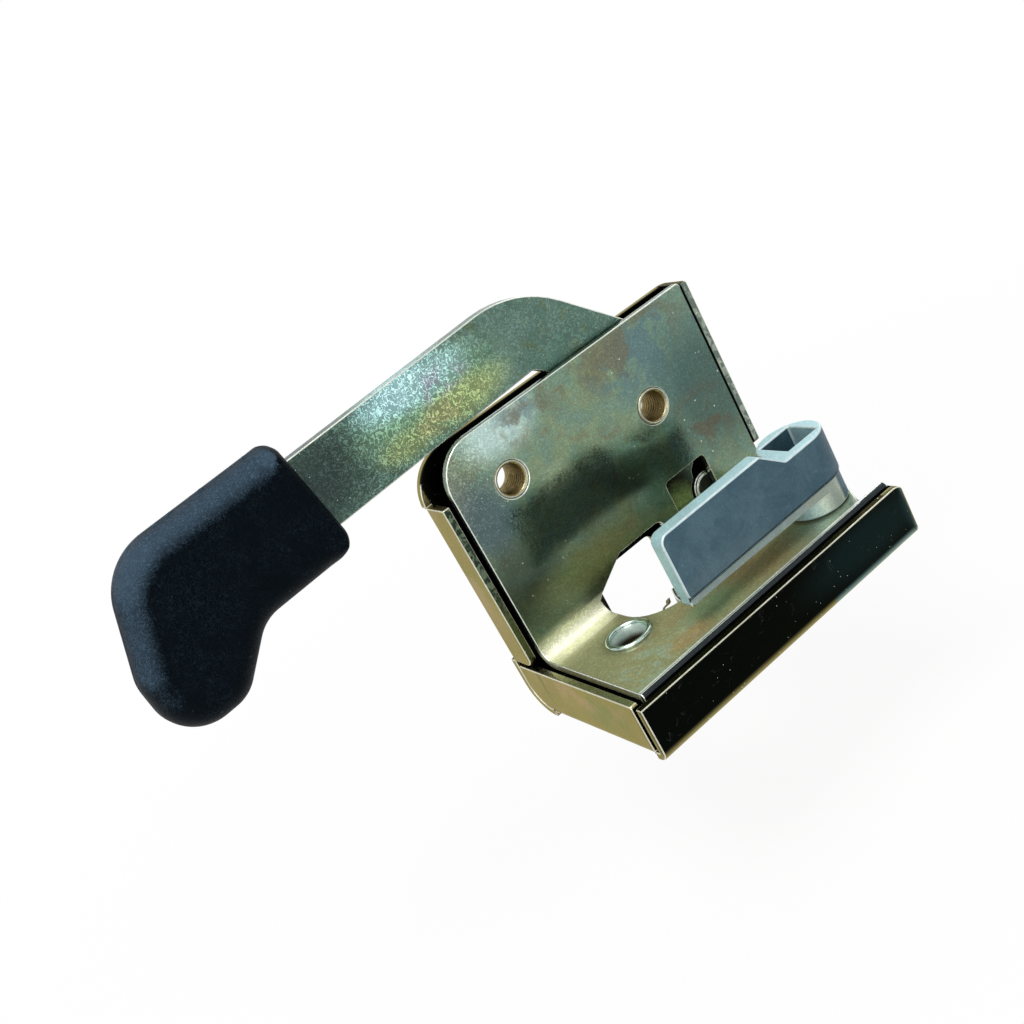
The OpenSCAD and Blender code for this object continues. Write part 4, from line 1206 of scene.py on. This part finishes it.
class Housing(Assembly):
    """The casing, the cover plate and what is fixed between them."""

    def build(self) -> list[Piece]:
        """Dress the fixed pieces.

        Returns:
            The new pieces.
        """
        look = self.look
        fixed = (
            (COVER, Slot.OLIVE_ZINC, look["cover"], look["edge"], 0.35),
            (CASING, Slot.GOLD_ZINC, look["casing"], look["fold"], 0.3),
            (("pivot_bush",), Slot.BRASS, look["brass"], look["steel"], 0.12),
            (("left_bush",), Slot.BRASS, look["brass"], look["steel"], 0.12),
        )
        pieces = [DressedPart(self.nodes, names, Body.HOUSING, *given).build() for names, *given in fixed]
        pieces += [
            RolledBush(look["collar"]).build(),
            ThreadRings("pivot_thread", look["brass"], (0.0, 0.0), 0.1, 12.5).build(),
            ThreadRings("left_thread", look["brass"], (-53.2, 8.6), 0.65, 12.0).build(),
            SpringHook(look["wire"]).build(),
        ]
        self.plain(look["steel"], "claw_rivet", "lever_stop", "lever_washer")
        self.plain(look["steel"], "handle_spring", "release_spring", "claw_spring")
        self.plain(look["brass"], "upper_shaft_bush", "lower_shaft_bush")
        return pieces


class Handle(Assembly):
    """The lever and its grip."""

    def build(self) -> list[Piece]:
        """Dress the lever and make the grip.

        Returns:
            The new pieces.
        """
        look = self.look
        given = (("handle_lever",), Body.HANDLE, Slot.OLIVE_ZINC, look["lever"], look["edge"], 0.35)
        lever = DressedPart(self.nodes, *given)
        return [lever.build(), Grip(look["grip"]).build()]


class Latch(Assembly):
    """The release arm with its shaft, and the claw."""

    def build(self) -> list[Piece]:
        """Dress the moving pieces of the latch.

        Returns:
            The new pieces.
        """
        look = self.look
        moving = (
            (("release_arm",), Body.RELEASE, Slot.CAST_ZINC, look["cast"], look["cast_edge"], 0.5, 3),
            (("claw",), Body.CLAW, Slot.OLIVE_ZINC, look["inner"], look["edge"], 0.4),
            (("drive_roller",), Body.RELEASE, Slot.BRIGHT_STEEL, look["dark"], look["edge"], 0.35),
        )
        pieces = [DressedPart(self.nodes, *given).build() for given in moving]
        self.plain(look["steel"], "latch_shaft", "arm_pin", "shaft_circlip")
        self.plain(look["inner"], "pawl", "release_finger")
        self.plain(look["brass"], "claw_sleeve")
        return pieces


@dataclass
class Studio:
    """White surroundings, soft lamps and the photograph's camera."""

    camera_at: Triple = (-195.6, -326.75, 129.03)
    right: Triple = (0.7395, -0.4917, -0.4598)
    down: Triple = (-0.5661, -0.0847, -0.8200)
    forward: Triple = (0.3642, 0.8667, -0.3410)
    lens: float = 45.60
    sensor: float = 36.0
    clip_start: float = 0.01
    floor_z: float = -118.0
    floor_half: float = 3.0
    aim: Triple = (-0.03, 0.0, 0.0)
    white: Colour = (1.0, 1.0, 1.0)
    floor_white: Colour = (0.9, 0.9, 0.9)

    def build(self) -> None:
        """Make the surroundings, the lamps and the camera."""
        bpy.context.scene.view_settings.view_transform = "Standard"
        self.world()
        self.floor()
        self.lamp("key", (-0.34, -0.22, 0.86), 0.55, 6.0)
        self.lamp("fill", (-0.75, -0.75, 0.3), 0.7, 3.0)
        self.lamp("rim", (0.7, 0.35, 0.6), 0.6, 2.0)
        self.camera()

    def seen(self, graph: Graph) -> Socket:
        """Mask of the rays that show the surroundings themselves.

        Args:
            graph: The node graph to build in.

        Returns:
            Socket that is 1 for camera, glossy and transmission rays.
        """
        path = graph.node("ShaderNodeLightPath")
        both = graph.math("MAXIMUM", path.outputs["Is Camera Ray"], path.outputs["Is Glossy Ray"])
        return graph.math("MAXIMUM", both, path.outputs["Is Transmission Ray"])

    def world(self) -> None:
        """White where it is seen, and a plain grey as light."""
        world = bpy.data.worlds.new("white_room")
        bpy.context.scene.world = world
        world.use_nodes = True
        graph = Graph(world.node_tree)
        strength = graph.spread(self.seen(graph), 0.0, 1.0, 0.4, 1.0)
        graph.fill(world.node_tree.nodes["Background"], {"Color": self.white, "Strength": strength})

    def floor(self) -> None:
        """Pale floor that stays white and keeps a soft shadow."""
        grid = self.floor_half * np.array([[-1, -1], [1, -1], [1, 1], [-1, 1]], float)
        points = np.column_stack([grid, np.full(len(grid), self.floor_z * MM)])
        floor = add_mesh("floor", points, [[0, 1, 2, 3]])
        material, graph, shader, at = new_material("white_floor")
        graph.fill(shader, {"Base Color": self.floor_white, "Roughness": 0.9, "Specular IOR Level": 0.0})
        glow = graph.node("ShaderNodeEmission")
        graph.fill(glow, {"Strength": 1.0})
        blend = graph.node("ShaderNodeMixShader")
        away = graph.vector("LENGTH", at).outputs["Value"]
        share = graph.times(self.seen(graph), graph.spread(away, 0.15, 0.45, 0.9, 1.0))
        for index, value in enumerate((share, shader.outputs[0], glow.outputs[0])):
            graph.feed(blend.inputs[index], value)
        graph.feed(material.node_tree.nodes["Material Output"].inputs[0], blend.outputs[0])
        floor.data.materials.append(material)

    def lamp(self, name: str, at: Triple, size: float, power: float) -> None:
        """Square lamp that faces the part.

        Args:
            name: Name of the lamp.
            at: Its place in metres.
            size: Length of its sides in metres.
            power: Its power in watts.
        """
        light = bpy.data.lights.new(name, "AREA")
        light.size = size
        light.energy = power
        back = np.array(at) - np.array(self.aim)
        back /= np.linalg.norm(back)
        side = np.cross((0, 0, 1), back)
        side /= np.linalg.norm(side)
        stand(add_object(name, light), (side, np.cross(back, side), back), at)

    def camera(self) -> None:
        """Camera at the photograph's place, turn and focal length."""
        data = bpy.data.cameras.new("camera")
        data.lens = self.lens
        data.sensor_width = self.sensor
        data.clip_start = self.clip_start
        made = add_object("camera", data)
        axes = (np.array(self.right), -np.array(self.down), -np.array(self.forward))
        stand(made, axes, np.array(self.camera_at) * MM)
        bpy.context.scene.camera = made


def main() -> None:
    """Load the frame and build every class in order."""
    logging.basicConfig(level=logging.INFO, format="%(name)s: %(message)s")
    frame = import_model()
    Studio().build()
    Effects().build()
    given = (frame["nodes"], {name: finish.build() for name, finish in FINISHES.items()})
    for assembly in (Housing(*given), Handle(*given), Latch(*given)):
        for piece in assembly.build():
            LOG.info("%s: %s, %d faces", type(assembly).__name__, piece.name, len(piece.data.polygons))


if __name__ == "__main__":
    main()
